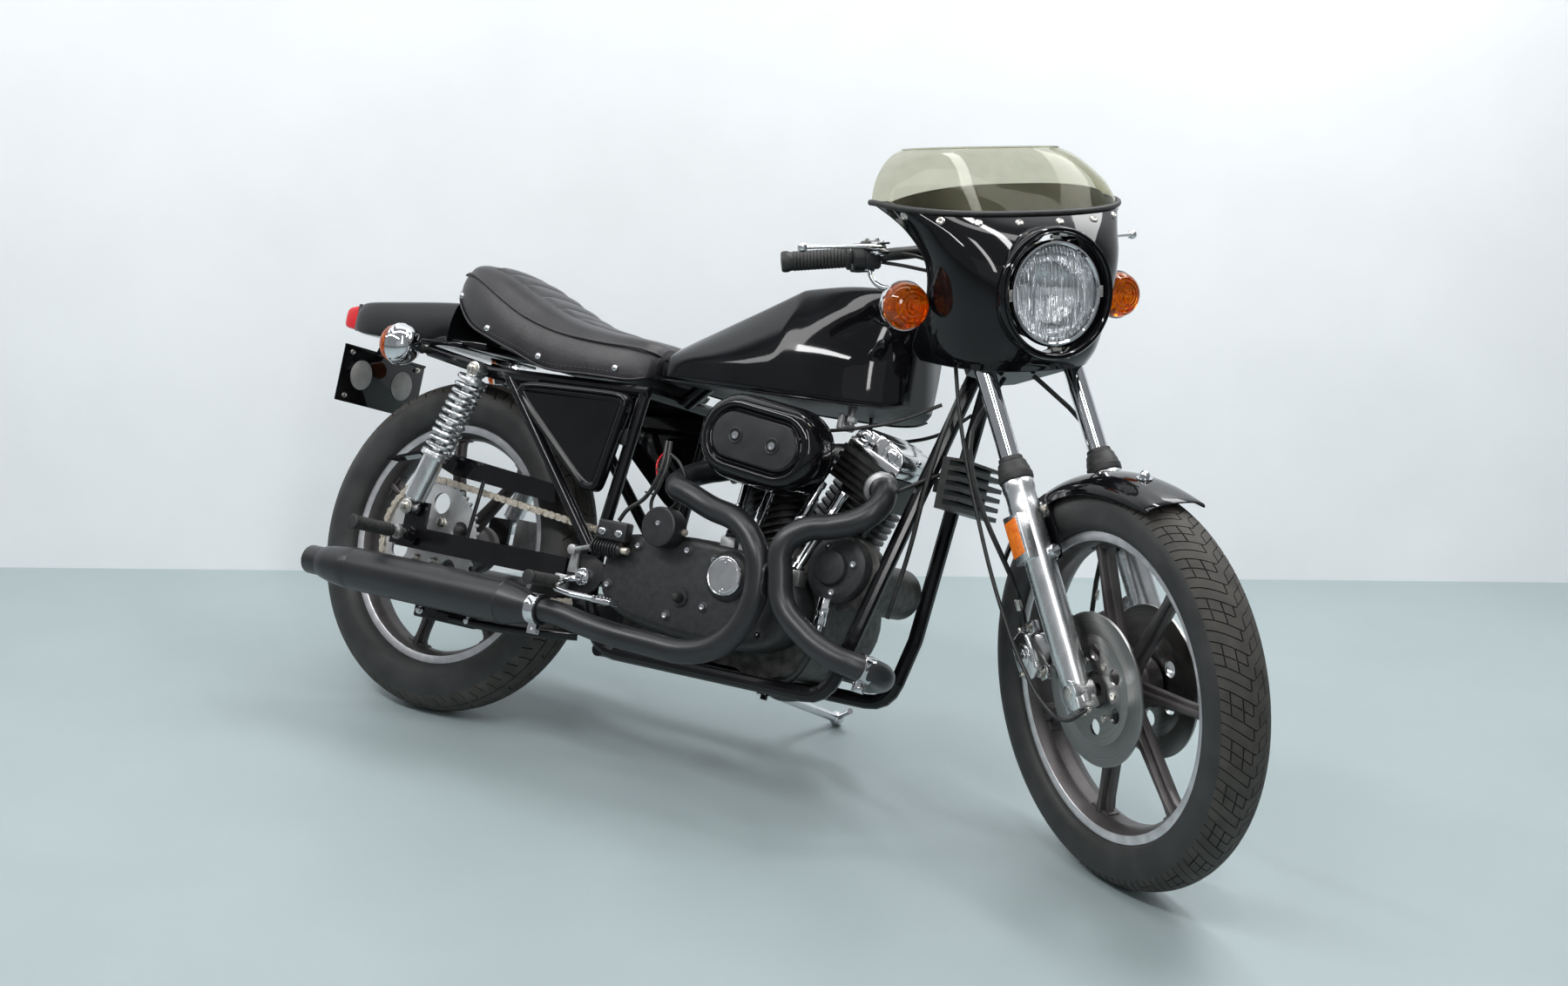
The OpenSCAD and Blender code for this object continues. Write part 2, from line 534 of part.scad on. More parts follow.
// Tail stations: x, half width, bottom, top
tail_stations = [[-358, 52, 742, 794], [-330, 64, 728, 802], [-220, 84, 724, 808], [-100, 108, 722, 816],
    [-40, 118, 722, 818], [-10, 110, 724, 760], [60, 104, 726, 738]];
function tail_ring(s) = let (x = s[0], w = s[1], b = s[2], t = s[3],
    half = [[0, t], [w * 0.6, t - 3], [w * 0.9, t - (t - b) * 0.25], [w, b + (t - b) * 0.3], [w, b],
        [0, b]])
    concat([for (p = half) [x, p[0], p[1]]], [for (i = [len(half) - 2:-1:1]) [x, -half[i][0], half[i][1]]]);
module tail_section() color([0.02, 0.02, 0.02]) rest_pose() skin([for (s = tail_stations) tail_ring(s)]);
module tail_lamp() color([0.75, 0.02, 0.04]) rest_pose() translate([-402, -42, 738]) {
    cube([43.7, 84, 50]);
}
module number_plate() color([0.03, 0.03, 0.03]) rest_pose() {
    translate([-302, -122, 580]) cube([3, 244, 118]);
    translate([-299, -20, 640]) cube([10, 40, 86.2]);
}
module rear_shocks() color(chrome) rest_pose() both_sides() {
    v = shock_low - shock_top;
    h = norm(v);
    difference() {
        union() {
            bar(shock_top + v * 0.06, shock_top + v * 0.60, 50);
            bar(shock_top + v * 0.55, shock_low - v * 0.04, 38);
            translate(shock_top) rotate([90, 0, 0]) cylinder(d = 34, h = 26, center = true);
            translate(shock_low) rotate([90, 0, 0]) cylinder(d = 32, h = 26, center = true);
        }
        translate(shock_top) rotate([90, 0, 0]) cylinder(d = 16.1, h = 60, center = true);
        translate(shock_low) rotate([90, 0, 0]) cylinder(d = 14.1, h = 60, center = true);
    }
}
module rear_signals() color([0.9, 0.4, 0.02]) rest_pose() both_sides() {
    translate([-140, 168, 706]) rotate([0, 90, 0]) rotate_extrude()
        polygon([[0, 0], [26, 2], [35, 12], [37, 24], [34, 50], [24, 66], [10, 74], [0, 75]]);
    bar([-80, 111.8, 707], [-80, 146, 706], 12);
}
module foot_controls() color([0.12, 0.12, 0.12]) rest_pose() {
    both_sides() {
        // rider's peg on its plate
        translate([398, cradle_y + 15 + 2 * eps, 262]) cube([25, 10, 60]);
        translate([398, cradle_y + 15 + 2 * eps, 310]) cube([58, 10, 44]);
        bar([410, cradle_y + 20, 308], [404, 178, 308], 16);
        bar([404, 176, 308], [380, 262, 306], 27);
        // passenger's peg on the end of the swinging arm
        bar([-30, arm_y + 12 + eps, 340], [-30, 170, 340], 18);
        bar([-30, 168, 340], [-42, 268, 343], 27);
    }
    // brake pedal
    bars([[440, -141, 326], [416, -172, 312], [440, -206, 294], [548, -214, 292]], 13);
    translate([505, -228, 295]) cube([46, 30, 7]);
    // shift lever
    bars([[440, 141, 326], [458, 172, 312], [570, 184, 306]], 12);
    bar([570, 180, 306], [570, 230, 306], 20);
    // brake master cylinder
    translate([468, -176, 392]) cube([60, 28.6, 34]);
    bar([460, -161, 382], [545, -161, 382], 26);
    translate([612, -147.3, 442]) rotate([90, 0, 0]) cylinder(r = 37, h = 38);
}
module rear_caliper() color([0.2, 0.2, 0.2]) rest_pose() difference() {
    union() {
        translate([84, 66, 348]) cube([74, arm_y - 14 - eps - 66, 62]);
    }
    translate([60, rear_hub_half + disc_t / 2 - 7.5, 300]) cube([80, 15, 140]);
}

/* ---- Front end ---- */
clamp_low = 572;
clamp_high = 752;
module clamp_plate(s) translate([0, 0, s]) difference() {
    union() {
        linear_extrude(height = 28) polygon([[-fork_lead - 22, -16], [-20, -fork_half - 26],
            [26, -fork_half - 20], [26, -fork_half + 20], [-16, -24], [-16, 24], [26, fork_half - 20],
            [26, fork_half + 20], [-20, fork_half + 26], [-fork_lead - 22, 16]]);
        for (y = [-1, 1]) translate([0, y * fork_half, 0]) cylinder(d = fork_tube_d + 18, h = 28);
    }
    for (y = [-1, 1]) translate([0, y * fork_half, -1]) cylinder(d = fork_tube_d + 2 * eps, h = 30);
}
module triple_clamps() color([0.05, 0.05, 0.05]) steered_pose() {
    fork_frame() {
        clamp_plate(clamp_low);
        clamp_plate(clamp_high);
        translate([-fork_lead, 0, clamp_low]) cylinder(d = 29.6, h = clamp_high - clamp_low + 10);
        // risers under the handlebar
        for (y = [-1, 1]) translate([-33, y * 45, clamp_high + 20]) cylinder(d = 30, h = 37.8);
    }
    // bracket of the headlamp
    bar([1098, 0, 992], [1171.9, 0, 966], 16);
}
module fork_tubes() color(chrome) steered_pose() fork_frame()
    for (y = [-1, 1]) translate([0, y * fork_half, 340]) cylinder(d = fork_tube_d, h = 445);
leg_top = 368;
module fork_legs() color(alloy) steered_pose() fork_frame() {
    for (y = [-1, 1]) translate([0, y * fork_half, 0]) difference() {
        union() {
            translate([0, 0, -22]) cylinder(d = fork_leg_d, h = leg_top + 22);
            translate([0, 0, leg_top]) cylinder(d1 = 58, d2 = 44, h = 40);
            rotate([90, 0, 0]) cylinder(d = 46, h = fork_leg_d - 6, center = true);
        }
        translate([0, 0, 336]) cylinder(d = fork_tube_d + 2 * eps, h = 80);
    }
    rotate([90, 0, 0]) cylinder(d = axle_d, h = 2 * fork_half + 10, center = true);
    for (y = [-1, 1]) translate([0, y * (front_hub_half + disc_t + 0.5), 0]) rotate([-90 * y, 0, 0])
        cylinder(d = 30, h = 12);
    both_sides() translate([-16, fender_half + eps, 296]) cube([32, 12, 30]);
    // ears that carry the calipers
    for (y = [-1, 1]) {
        translate([-110, y * 74 - 5, 50]) cube([100, 10, 22]);
        translate([-110, y * 74 - 5, 130]) cube([100, 10, 22]);
    }
}
module front_calipers() color([0.35, 0.35, 0.36]) steered_pose() fork_frame()
    for (y = [-1, 1]) mirror([0, y < 0 ? 0 : 1, 0]) difference() {
        translate([-165, -86, 60]) cube([60, 50, 86]);
        translate([-136, -front_disc_y - disc_t / 2 - 5, 40]) cube([60, disc_t + 10, 130]);
        translate([-112, -80, 40]) cube([120, 12, 130]);
    }
fender_r = front_tyre_r + fender_gap;
fender_half = 57;
fender_from = 66;
fender_to = 148;
module front_fender() color([0.02, 0.02, 0.02]) steered_pose() translate(front_axle) difference() {
    rotate([90, 0, 0]) rotate([0, 0, fender_from]) rotate_extrude(angle = fender_to - fender_from, $fn = 96)
        polygon(concat([for (a = [90:-10:-90]) [fender_r - 34 + 37 * cos(a), fender_half * sin(a)]],
            [[fender_r - 40, -fender_half], [fender_r - 40, shell_t - fender_half]],
            [for (a = [-90:10:90]) [fender_r - 34 + 34 * cos(a), (fender_half - shell_t) * sin(a)]],
            [[fender_r - 40, fender_half - shell_t], [fender_r - 40, fender_half]]));
}
bar_mid = [1058, 0, 1038];
bar_path = spline([[963, -345, 1019], [1012, -225, 1024], [1048, -130, 1030], bar_mid, [1048, 130, 1030],
    [1012, 225, 1024], [963, 345, 1019]], 4);
module handlebar() color([0.06, 0.06, 0.06]) steered_pose() {
    sweep(bar_path, 22, 16, [0, 0, 1]);
    both_sides() {
        sleeve([963, -345, 1019], [1008, -235, 1024], 33, 23);
        sleeve([1010, -230, 1024], [1030, -180, 1027], 46, 23);
    }
}
module levers() color(chrome) steered_pose() both_sides() {
    bars([[1058, -196, 1040], [1066, -240, 1044], [1036, -338, 1046]], 10);
    translate([1035, -340, 1046]) sphere(d = 18);
    translate([1050.2, -216, 1028]) cube([20, 24, 18]);
}
// Fairing stations: front height, side height, front x, half width, rear x
fairing_stations = [[832, 846, 1260, 145, 1088], [858, 868, 1282, 155, 1080], [905, 905, 1296, 161, 1110],
    [960, 960, 1304, 167, 1152], [1015, 1020, 1298, 178, 1165], [1060, 1075, 1268, 200, 1132],
    [1094, 1118, 1226, 234, 1086]];
// Half a turn of a superellipse, from the right rear edge round the front to the left
function wrap_line(s, off) = [for (k = [0:18]) let (a = -90 + 10 * k, c = pow(abs(cos(a)), 0.72),
    w = pow(abs(sin(a)), 0.75) * sign(a), z = s[1] + (s[0] - s[1]) * cos(a))
    [s[4] + (s[2] - off - s[4]) * c, (s[3] - off) * w, z]];
module wrap_shell(stations, t)
    plate([for (s = stations) wrap_line(s, 0)], [for (s = stations) wrap_line(s, t)]);
lamp = [1292, 0, 962];
lamp_hole_r = 101;
module fairing() color([0.02, 0.02, 0.02]) steered_pose() difference() {
    wrap_shell(fairing_stations, shell_t);
    translate([lamp.x - 80, 0, lamp.z]) rotate([90, 0, 90]) linear_extrude(height = 200)
        polygon([for (a = [0:10:350]) lamp_hole_r * [cos(a), sin(a)]]);
}
screen_stations = [[1094.3, 1118.3, 1225.5, 233.5, 1086], [1130, 1150, 1200, 222, 1078],
    [1175, 1180, 1162, 196, 1062], [1208, 1206, 1128, 150, 1046]];
module windscreen() color([0.4, 0.36, 0.28, 0.5]) steered_pose() wrap_shell(screen_stations, 3);
module headlamp() color([0.8, 0.82, 0.84]) steered_pose() translate(lamp) rotate([0, 90, 0])
    translate([0, 0, -118]) rotate_extrude()
        polygon([[0, 0], [52, 6], [76, 40], [86, 92], [88, 112], [78, 116], [60, 124],
            [30, 129], [0, 130]]);
module front_signals() color([0.9, 0.4, 0.02]) steered_pose() both_sides() {
    translate([1120, -215, 946]) rotate([0, 90, 0]) rotate_extrude()
        polygon([[0, 0], [14, 1], [30, 10], [40, 26], [42, 40], [40, 62], [30, 72], [0, 74]]);
    bar([1135, -180, 946], [1120, -122, 946], 14);
}
module instruments() color([0.03, 0.03, 0.03]) steered_pose() both_sides() {
    translate([1148, 46, 1062]) rotate([0, -50, 0]) cylinder(d = 84, h = 50);
    fork_frame() translate([-8, 52, clamp_high + 28 + eps]) cube([40, 12, 20]);
}
hose_path = spline([[1178.9, -30, 814], [1190, -66, 780], [1206, -112, 730], [1226, -126, 670],
    [1254, -122, 600], [1282, -104, 530], [1294, -80, 465], [1298.8, -66, 400.4]], 2);
module brake_hoses() color([0.03, 0.03, 0.03]) steered_pose() both_sides() sweep(hose_path, 9, 8);
// The foot's ball rests on the floor
foot_r = 15;
foot_x = 727;
foot_y = 378;
stand_foot = [foot_x, foot_y, ((foot_r - rest_lift + foot_x * sin(rest_pitch)) / cos(rest_pitch)
    + foot_y * sin(lean)) / cos(lean)];
module side_stand() color(alloy) rest_pose() difference() {
    union() {
        bar(stand_pivot, stand_foot, 18);
        translate(stand_foot) sphere(r = foot_r);
        bar(stand_foot, stand_foot + [45, -30, 22], 12);
        on_stand_pivot() cylinder(d = 36, h = 20, center = true);
    }
    on_stand_pivot() cylinder(d = stand_pin_d + 2 * axle_gap, h = 40, center = true);
}

frame();
swingarm();
crankcase();
gear_cover();
primary_cover();
front_cylinder();
rear_cylinder();
rocker_boxes();
carburettor();
air_cleaner();
exhaust_headers();
mufflers();
side_covers();
fuel_tank();
seat();
tail_section();
tail_lamp();
number_plate();
rear_shocks();
chain();
chain_guard();
rear_signals();
foot_controls();
rear_caliper();
regulator();
triple_clamps();
fork_tubes();
fork_legs();
front_fender();
handlebar();
levers();
fairing();
windscreen();
headlamp();
front_signals();
instruments();
front_calipers();
brake_hoses();
front_wheel();
front_tyre();
front_discs();
rear_wheel();
rear_tyre();
rear_sprocket();
side_stand();
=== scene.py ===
import bpy
import bmesh
import math
from mathutils import Matrix, Vector


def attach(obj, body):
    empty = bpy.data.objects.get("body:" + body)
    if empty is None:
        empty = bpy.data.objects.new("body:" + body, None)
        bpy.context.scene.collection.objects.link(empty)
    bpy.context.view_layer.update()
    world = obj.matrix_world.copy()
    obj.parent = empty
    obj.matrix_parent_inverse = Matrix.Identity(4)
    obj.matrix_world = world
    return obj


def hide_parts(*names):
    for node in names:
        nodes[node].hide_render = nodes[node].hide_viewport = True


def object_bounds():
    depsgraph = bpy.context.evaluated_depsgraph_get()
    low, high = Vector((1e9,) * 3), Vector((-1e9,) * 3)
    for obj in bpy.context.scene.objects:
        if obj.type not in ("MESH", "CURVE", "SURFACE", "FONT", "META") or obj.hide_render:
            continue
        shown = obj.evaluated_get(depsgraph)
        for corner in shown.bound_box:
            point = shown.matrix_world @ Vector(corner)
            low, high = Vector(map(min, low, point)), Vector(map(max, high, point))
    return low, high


# Cafe racer motorcycle on its side stand. Pieces are modelled in metres on an upright bike
# (x forward, y to its left, z up, the rear axle over the origin) and then leaned or steered into place.

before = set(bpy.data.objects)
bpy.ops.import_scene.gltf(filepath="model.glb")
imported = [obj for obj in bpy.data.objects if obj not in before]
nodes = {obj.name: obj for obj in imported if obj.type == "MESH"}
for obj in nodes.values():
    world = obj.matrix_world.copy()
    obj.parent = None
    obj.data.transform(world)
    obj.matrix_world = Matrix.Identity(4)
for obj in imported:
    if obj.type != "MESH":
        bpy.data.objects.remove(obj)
cadBox = [list(corner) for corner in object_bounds()]
print("frame loaded:", len(nodes), "nodes")

stance = {
    "lean": 20.0,            # degrees to the left, on the stand
    "pitch": -0.378047,      # levels the two wheels
    "shift": (-0.6826, -0.271, 0.00398985),
    "rake": 29.0,
    "steer": 35.0,           # handlebar to the right
    "wheelbase": 1.486,
    "trail": 0.121,
    "axleHeight": 0.3345,
}


def turn(degrees, axis):
    return Matrix.Rotation(math.radians(degrees), 4, axis)


def shiftBy(x, y, z):
    return Matrix.Translation((x, y, z))


rakeAngle = math.radians(stance["rake"])
steerDir = Vector((-math.sin(rakeAngle), 0, math.cos(rakeAngle)))
steerFoot = Vector((stance["wheelbase"] + stance["trail"], 0, 0))
frontAxle = Vector((stance["wheelbase"], 0, stance["axleHeight"]))
rearAxle = Vector((0, 0, stance["axleHeight"]))
bike = shiftBy(*stance["shift"]) @ turn(stance["pitch"], "Y") @ turn(-stance["lean"], "X")
steered = bike @ shiftBy(*steerFoot) @ turn(-stance["steer"], steerDir) @ shiftBy(*(-steerFoot))
fork = steered @ shiftBy(*frontAxle) @ turn(-stance["rake"], "Y")      # z runs up the fork legs
frontHub = steered @ shiftBy(*frontAxle)
rearHub = bike @ shiftBy(*rearAxle)

# a place and the body that rides there
onBike, onSteering, onFork = (bike, "chassis"), (steered, "steering"), (fork, "steering")
onFender, onFrontWheel, onRearWheel = (frontHub, "steering"), (frontHub, "front_wheel"), (rearHub,
    "rear_wheel")


# helpers for modelling

mergeGap = 0.00002      # vertices closer than this are one


def clearSelection():
    if bpy.context.object and bpy.context.object.mode != "OBJECT":
        bpy.ops.object.mode_set(mode="OBJECT")
    bpy.ops.object.select_all(action="DESELECT")


def choose(obj):
    clearSelection()
    obj.select_set(True)
    bpy.context.view_layer.objects.active = obj


def editing(obj):
    choose(obj)
    bpy.ops.object.mode_set(mode="EDIT")
    bpy.context.tool_settings.mesh_select_mode = (True, False, False)


def leaveEdit():
    bpy.ops.object.mode_set(mode="OBJECT")


def pick(obj, kind, test):
    # in edit mode: selects the faces, edges or vertices that pass the test
    bpy.ops.mesh.select_all(action="DESELECT")
    mesh = bmesh.from_edit_mesh(obj.data)
    mesh.normal_update()
    bpy.context.tool_settings.mesh_select_mode = (kind == "verts", kind == "edges", kind == "faces")
    chosen = [part for part in getattr(mesh, kind) if test(part)]
    for part in chosen:
        part.select_set(True)
    mesh.select_flush_mode()
    bmesh.update_edit_mesh(obj.data)


def modifier(obj, kind, **settings):
    added = obj.modifiers.new(kind.title(), kind)
    for key, value in settings.items():
        setattr(added, key, value)
    choose(obj)
    bpy.ops.object.modifier_apply(modifier=added.name)


def soften(obj, width, angle, segments=2):
    # rounds the edges that turn by more than the angle
    modifier(obj, "BEVEL", width=width, segments=segments, limit_method="ANGLE",
        angle_limit=math.radians(angle))


def aim(obj, spot, out, along="Z", up="Y"):
    # moves an upright mesh to the spot and turns its axis the way out
    obj.data.transform(Matrix.Translation(spot) @ Vector(out).to_track_quat(along, up).to_matrix().to_4x4())
    return obj


def outwards(obj, merge=0.00001):
    editing(obj)
    bpy.ops.mesh.select_all(action="SELECT")
    bpy.ops.mesh.remove_doubles(threshold=merge)
    bpy.ops.mesh.normals_make_consistent(inside=False)
    leaveEdit()


def join(parts, name):
    clearSelection()
    for part in parts:
        part.select_set(True)
    bpy.context.view_layer.objects.active = parts[0]
    if len(parts) > 1:
        bpy.ops.object.join()
    parts[0].name = name
    return parts[0]


def copyOf(obj, matrix):
    twin = obj.copy()
    twin.data = obj.data.copy()
    bpy.context.collection.objects.link(twin)
    twin.data.transform(matrix)
    if matrix.determinant() < 0:
        twin.data.flip_normals()
    return twin


def bothSides(obj, name):
    return join([obj, copyOf(obj, Matrix.Scale(-1, 4, (0, 1, 0)))], name)


def finish(parts, name, where, finishName, stands=None, smooth=35, slot=None, both=False):
    # joins the parts, adds their mirror image where both is set, and gives them place, finish and body
    place, body = where
    obj = join(parts, name) if isinstance(parts, list) else parts
    if both:
        obj = bothSides(obj, name)
    choose(obj)
    bpy.ops.object.transform_apply(location=True, rotation=True, scale=True)
    obj.data.transform(place)
    if smooth:
        bpy.ops.object.shade_smooth_by_angle(angle=math.radians(smooth))
    obj.name = name
    obj.data.name = name
    if finishName:
        obj.data.materials.clear()
        obj.data.materials.append(finishes[finishName])
    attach(obj, body)
    if stands:
        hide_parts(stands)
    clearSelection()
    return obj


def lathe(profile, steps=48):
    # profile of (radius, along) points turned round the Y axis
    clearSelection()
    bpy.ops.mesh.primitive_plane_add(size=0.01)
    obj = bpy.context.object
    editing(obj)
    bpy.ops.mesh.select_all(action="SELECT")
    bpy.ops.mesh.merge(type="CENTER")
    bpy.ops.transform.translate(value=(profile[0][0], profile[0][1], 0))
    for here, there in zip(profile, profile[1:]):
        bpy.ops.mesh.extrude_region_move(TRANSFORM_OT_translate={"value": (there[0] - here[0], there[1]
            - here[1], 0)})
    bpy.ops.mesh.select_all(action="SELECT")
    bpy.ops.mesh.spin(steps=steps, angle=math.tau, center=(0, 0, 0), axis=(0, 1, 0))
    bpy.ops.mesh.select_all(action="SELECT")
    bpy.ops.mesh.remove_doubles(threshold=mergeGap)
    bpy.ops.mesh.normals_make_consistent(inside=False)
    leaveEdit()
    return obj


def tube(points, radius, sides=10, smoothness=6, loop=False, straight=False):
    # round tube along a path, capped
    clearSelection()
    bpy.ops.curve.primitive_nurbs_path_add()
    obj = bpy.context.object
    curve = obj.data
    curve.splines.clear()
    spline = curve.splines.new("POLY" if straight else "BEZIER")
    run = spline.points if straight else spline.bezier_points
    run.add(len(points) - 1)
    for knot, point in zip(run, points):
        if straight:
            knot.co = (*point, 1)
        else:
            knot.co = point
            knot.handle_left_type = knot.handle_right_type = "AUTO"
    spline.use_cyclic_u = loop
    spline.resolution_u = curve.resolution_u = smoothness
    curve.dimensions = "3D"
    curve.bevel_depth = radius
    curve.bevel_resolution = max(0, sides // 2 - 2)
    curve.use_fill_caps = not loop
    choose(obj)
    bpy.ops.object.convert(target="MESH")
    return bpy.context.object


def slab(outline, low, high, axis="Y", edge=0.0, segments=2):
    # flat plate with an outline, between two levels along an axis
    clearSelection()
    bpy.ops.mesh.primitive_circle_add(vertices=len(outline), fill_type="NGON")
    obj = bpy.context.object
    for vertex, point in zip(obj.data.vertices, outline):
        u, v = point
        vertex.co = {"Y": (u, low, v), "Z": (u, v, low), "X": (low, u, v)}[axis]
    editing(obj)
    bpy.ops.mesh.select_all(action="SELECT")
    rise = high - low
    bpy.ops.mesh.extrude_region_move(TRANSFORM_OT_translate={"value": {"Y": (0, rise, 0),
        "Z": (0, 0, rise), "X": (rise, 0, 0)}[axis]})
    bpy.ops.mesh.select_all(action="SELECT")
    bpy.ops.mesh.normals_make_consistent(inside=False)
    leaveEdit()
    if edge:
        soften(obj, edge, 40, segments)
    return obj


def block(low, high, edge=0.0, segments=2):
    clearSelection()
    centre = [(a + b) / 2 for a, b in zip(low, high)]
    bpy.ops.mesh.primitive_cube_add(size=1, location=centre, scale=[b - a for a, b in zip(low, high)])
    obj = bpy.context.object
    bpy.ops.object.transform_apply(location=True, rotation=True, scale=True)
    if edge:
        modifier(obj, "BEVEL", width=edge, segments=segments)
    return obj


def rod(start, end, radius, sides=24, edge=0.0, endRadius=None):
    # straight round bar, its rims softened
    clearSelection()
    start, end = Vector(start), Vector(end)
    way = end - start
    bpy.ops.mesh.primitive_cone_add(vertices=sides, radius1=radius, radius2=endRadius or radius,
        depth=way.length)
    obj = bpy.context.object
    aim(obj, (start + end) / 2, way)
    if edge:
        soften(obj, edge, 60)
    return obj


def gridSkin(columns, rows, place, loopColumns=False, loopRows=False):
    # sheet of quads whose vertex (i, j) goes where place(i, j) says
    clearSelection()
    bpy.ops.mesh.primitive_grid_add(x_subdivisions=columns - 1, y_subdivisions=rows - 1, size=1)
    obj = bpy.context.object
    for j in range(rows):
        for i in range(columns):
            obj.data.vertices[j * columns + i].co = place(i, j)
    if loopColumns or loopRows:
        editing(obj)
        bpy.ops.mesh.select_all(action="SELECT")
        bpy.ops.mesh.remove_doubles(threshold=mergeGap)
        leaveEdit()
    return obj


def fillHoles(obj):
    editing(obj)
    bpy.ops.mesh.select_all(action="DESELECT")
    bpy.ops.mesh.select_mode(type="EDGE")
    bpy.ops.mesh.select_non_manifold(extend=False, use_wire=False, use_boundary=True,
        use_multi_face=False, use_non_contiguous=False, use_verts=False)
    bpy.ops.mesh.edge_face_add()
    bpy.ops.mesh.select_all(action="SELECT")
    bpy.ops.mesh.normals_make_consistent(inside=False)
    leaveEdit()


def ring(count, start=0.0):
    return [start + math.tau * k / count for k in range(count)]


def circle(radius, count, start=0.0):
    return [(radius * math.cos(a), radius * math.sin(a)) for a in ring(count, start)]


def evenOutline(half):
    # an outline from its upper half: the lower half first, then the upper one back
    return [(u, -v) for u, v in half] + half[::-1]


def smoothPath(points, steps):
    # curve through points, for hoses and pipes
    points = [Vector(p) for p in points]
    out = []
    for i in range(len(points) - 1):
        a, b, c, d = points[max(i - 1, 0)], points[i], points[i + 1], points[min(i + 2, len(points) - 1)]
        for k in range(steps):
            t = k / steps
            out.append(0.5 * (2 * b + (c - a) * t + (2 * a - 5 * b + 4 * c - d) * t * t + (3 * b - a - 3
                * c + d) * t * t * t))
    out.append(points[-1])
    return out


# finishes

def addNode(tree, kind, **inputs):
    made = tree.nodes.new("ShaderNode" + kind)
    for socket, value in inputs.items():
        made.inputs[socket.replace("_", " ")].default_value = value
    return made


def link(start, output, end, into):
    start.id_data.links.new(start.outputs[output], end.inputs[into])


def newSurface(name):
    made = bpy.data.materials.new(name)
    made.use_nodes = True
    tree = made.node_tree
    return made, tree, tree.nodes["Principled BSDF"], addNode(tree, "TexCoord")


def tinted(tree, noise, low, high, surface, stops=(0, 1)):
    # the base colour drifts between two tones
    tones = addNode(tree, "ValToRGB")
    for stop, position, tone in zip(tones.color_ramp.elements, stops, (low, high)):
        stop.position = position
        stop.color = (*tone, 1)
    link(noise, "Fac", tones, "Fac")
    link(tones, "Color", surface, "Base Color")
    return tones


def makeFinish(name, low, high, rough, metallic=0.0, grain=60.0, bump=0.0, bumpScale=200.0, coat=0.0,
        detail=4.0, roughSpread=0.06, stretch=(1, 1, 1), bumpKind="noise", ior=1.5):
    # colour drifts between two tones, roughness drifts with it, and a fine bump breaks the light
    made, tree, surface, where = newSurface(name)
    mapping = addNode(tree, "Mapping", Scale=stretch)
    link(where, "Object", mapping, "Vector")
    noise = addNode(tree, "TexNoise", Scale=grain, Detail=detail)
    link(mapping, "Vector", noise, "Vector")
    tinted(tree, noise, low, high, surface, (0.35, 0.68))
    spread = addNode(tree, "MapRange", To_Min=max(rough - roughSpread, 0.01), To_Max=rough + roughSpread)
    link(noise, "Fac", spread, "Value")
    link(spread, "Result", surface, "Roughness")
    surface.inputs["Metallic"].default_value = metallic
    surface.inputs["IOR"].default_value = ior
    surface.inputs["Coat Weight"].default_value = coat
    surface.inputs["Coat Roughness"].default_value = 0.04
    if bump:
        if bumpKind == "cells":
            fine = addNode(tree, "TexVoronoi")
            height = fine.outputs["Distance"]
        else:
            fine = addNode(tree, "TexNoise", Detail=3.0)
            height = fine.outputs["Fac"]
        fine.inputs["Scale"].default_value = bumpScale
        link(mapping, "Vector", fine, "Vector")
        raised = addNode(tree, "Bump", Strength=bump, Distance=0.001)
        tree.links.new(height, raised.inputs["Height"])
        link(raised, "Normal", surface, "Normal")
    return made


def makeDiscFinish(name, low, high, rough):
    # fine turned circles round the front axle
    made = makeFinish(name, low, high, rough, metallic=1.0, grain=160, bump=0.0, roughSpread=0.05)
    tree = made.node_tree
    mapping = [n for n in tree.nodes if n.type == "MAPPING"][0]
    mapping.vector_type = "TEXTURE"
    spot = frontHub.translation
    mapping.inputs["Location"].default_value = spot
    squeeze = frontHub.to_3x3().to_euler()
    mapping.inputs["Rotation"].default_value = squeeze
    split = addNode(tree, "SeparateXYZ")
    link(mapping, "Vector", split, "Vector")
    flat = addNode(tree, "CombineXYZ")
    link(split, "X", flat, "X")
    link(split, "Z", flat, "Y")
    reach = addNode(tree, "VectorMath")
    reach.operation = "LENGTH"
    link(flat, "Vector", reach, 0)
    rings = addNode(tree, "CombineXYZ")
    link(reach, "Value", rings, "X")
    noise = [n for n in tree.nodes if n.type == "TEX_NOISE"][0]
    noise.inputs["Scale"].default_value = 420
    link(rings, "Vector", noise, "Vector")
    return made


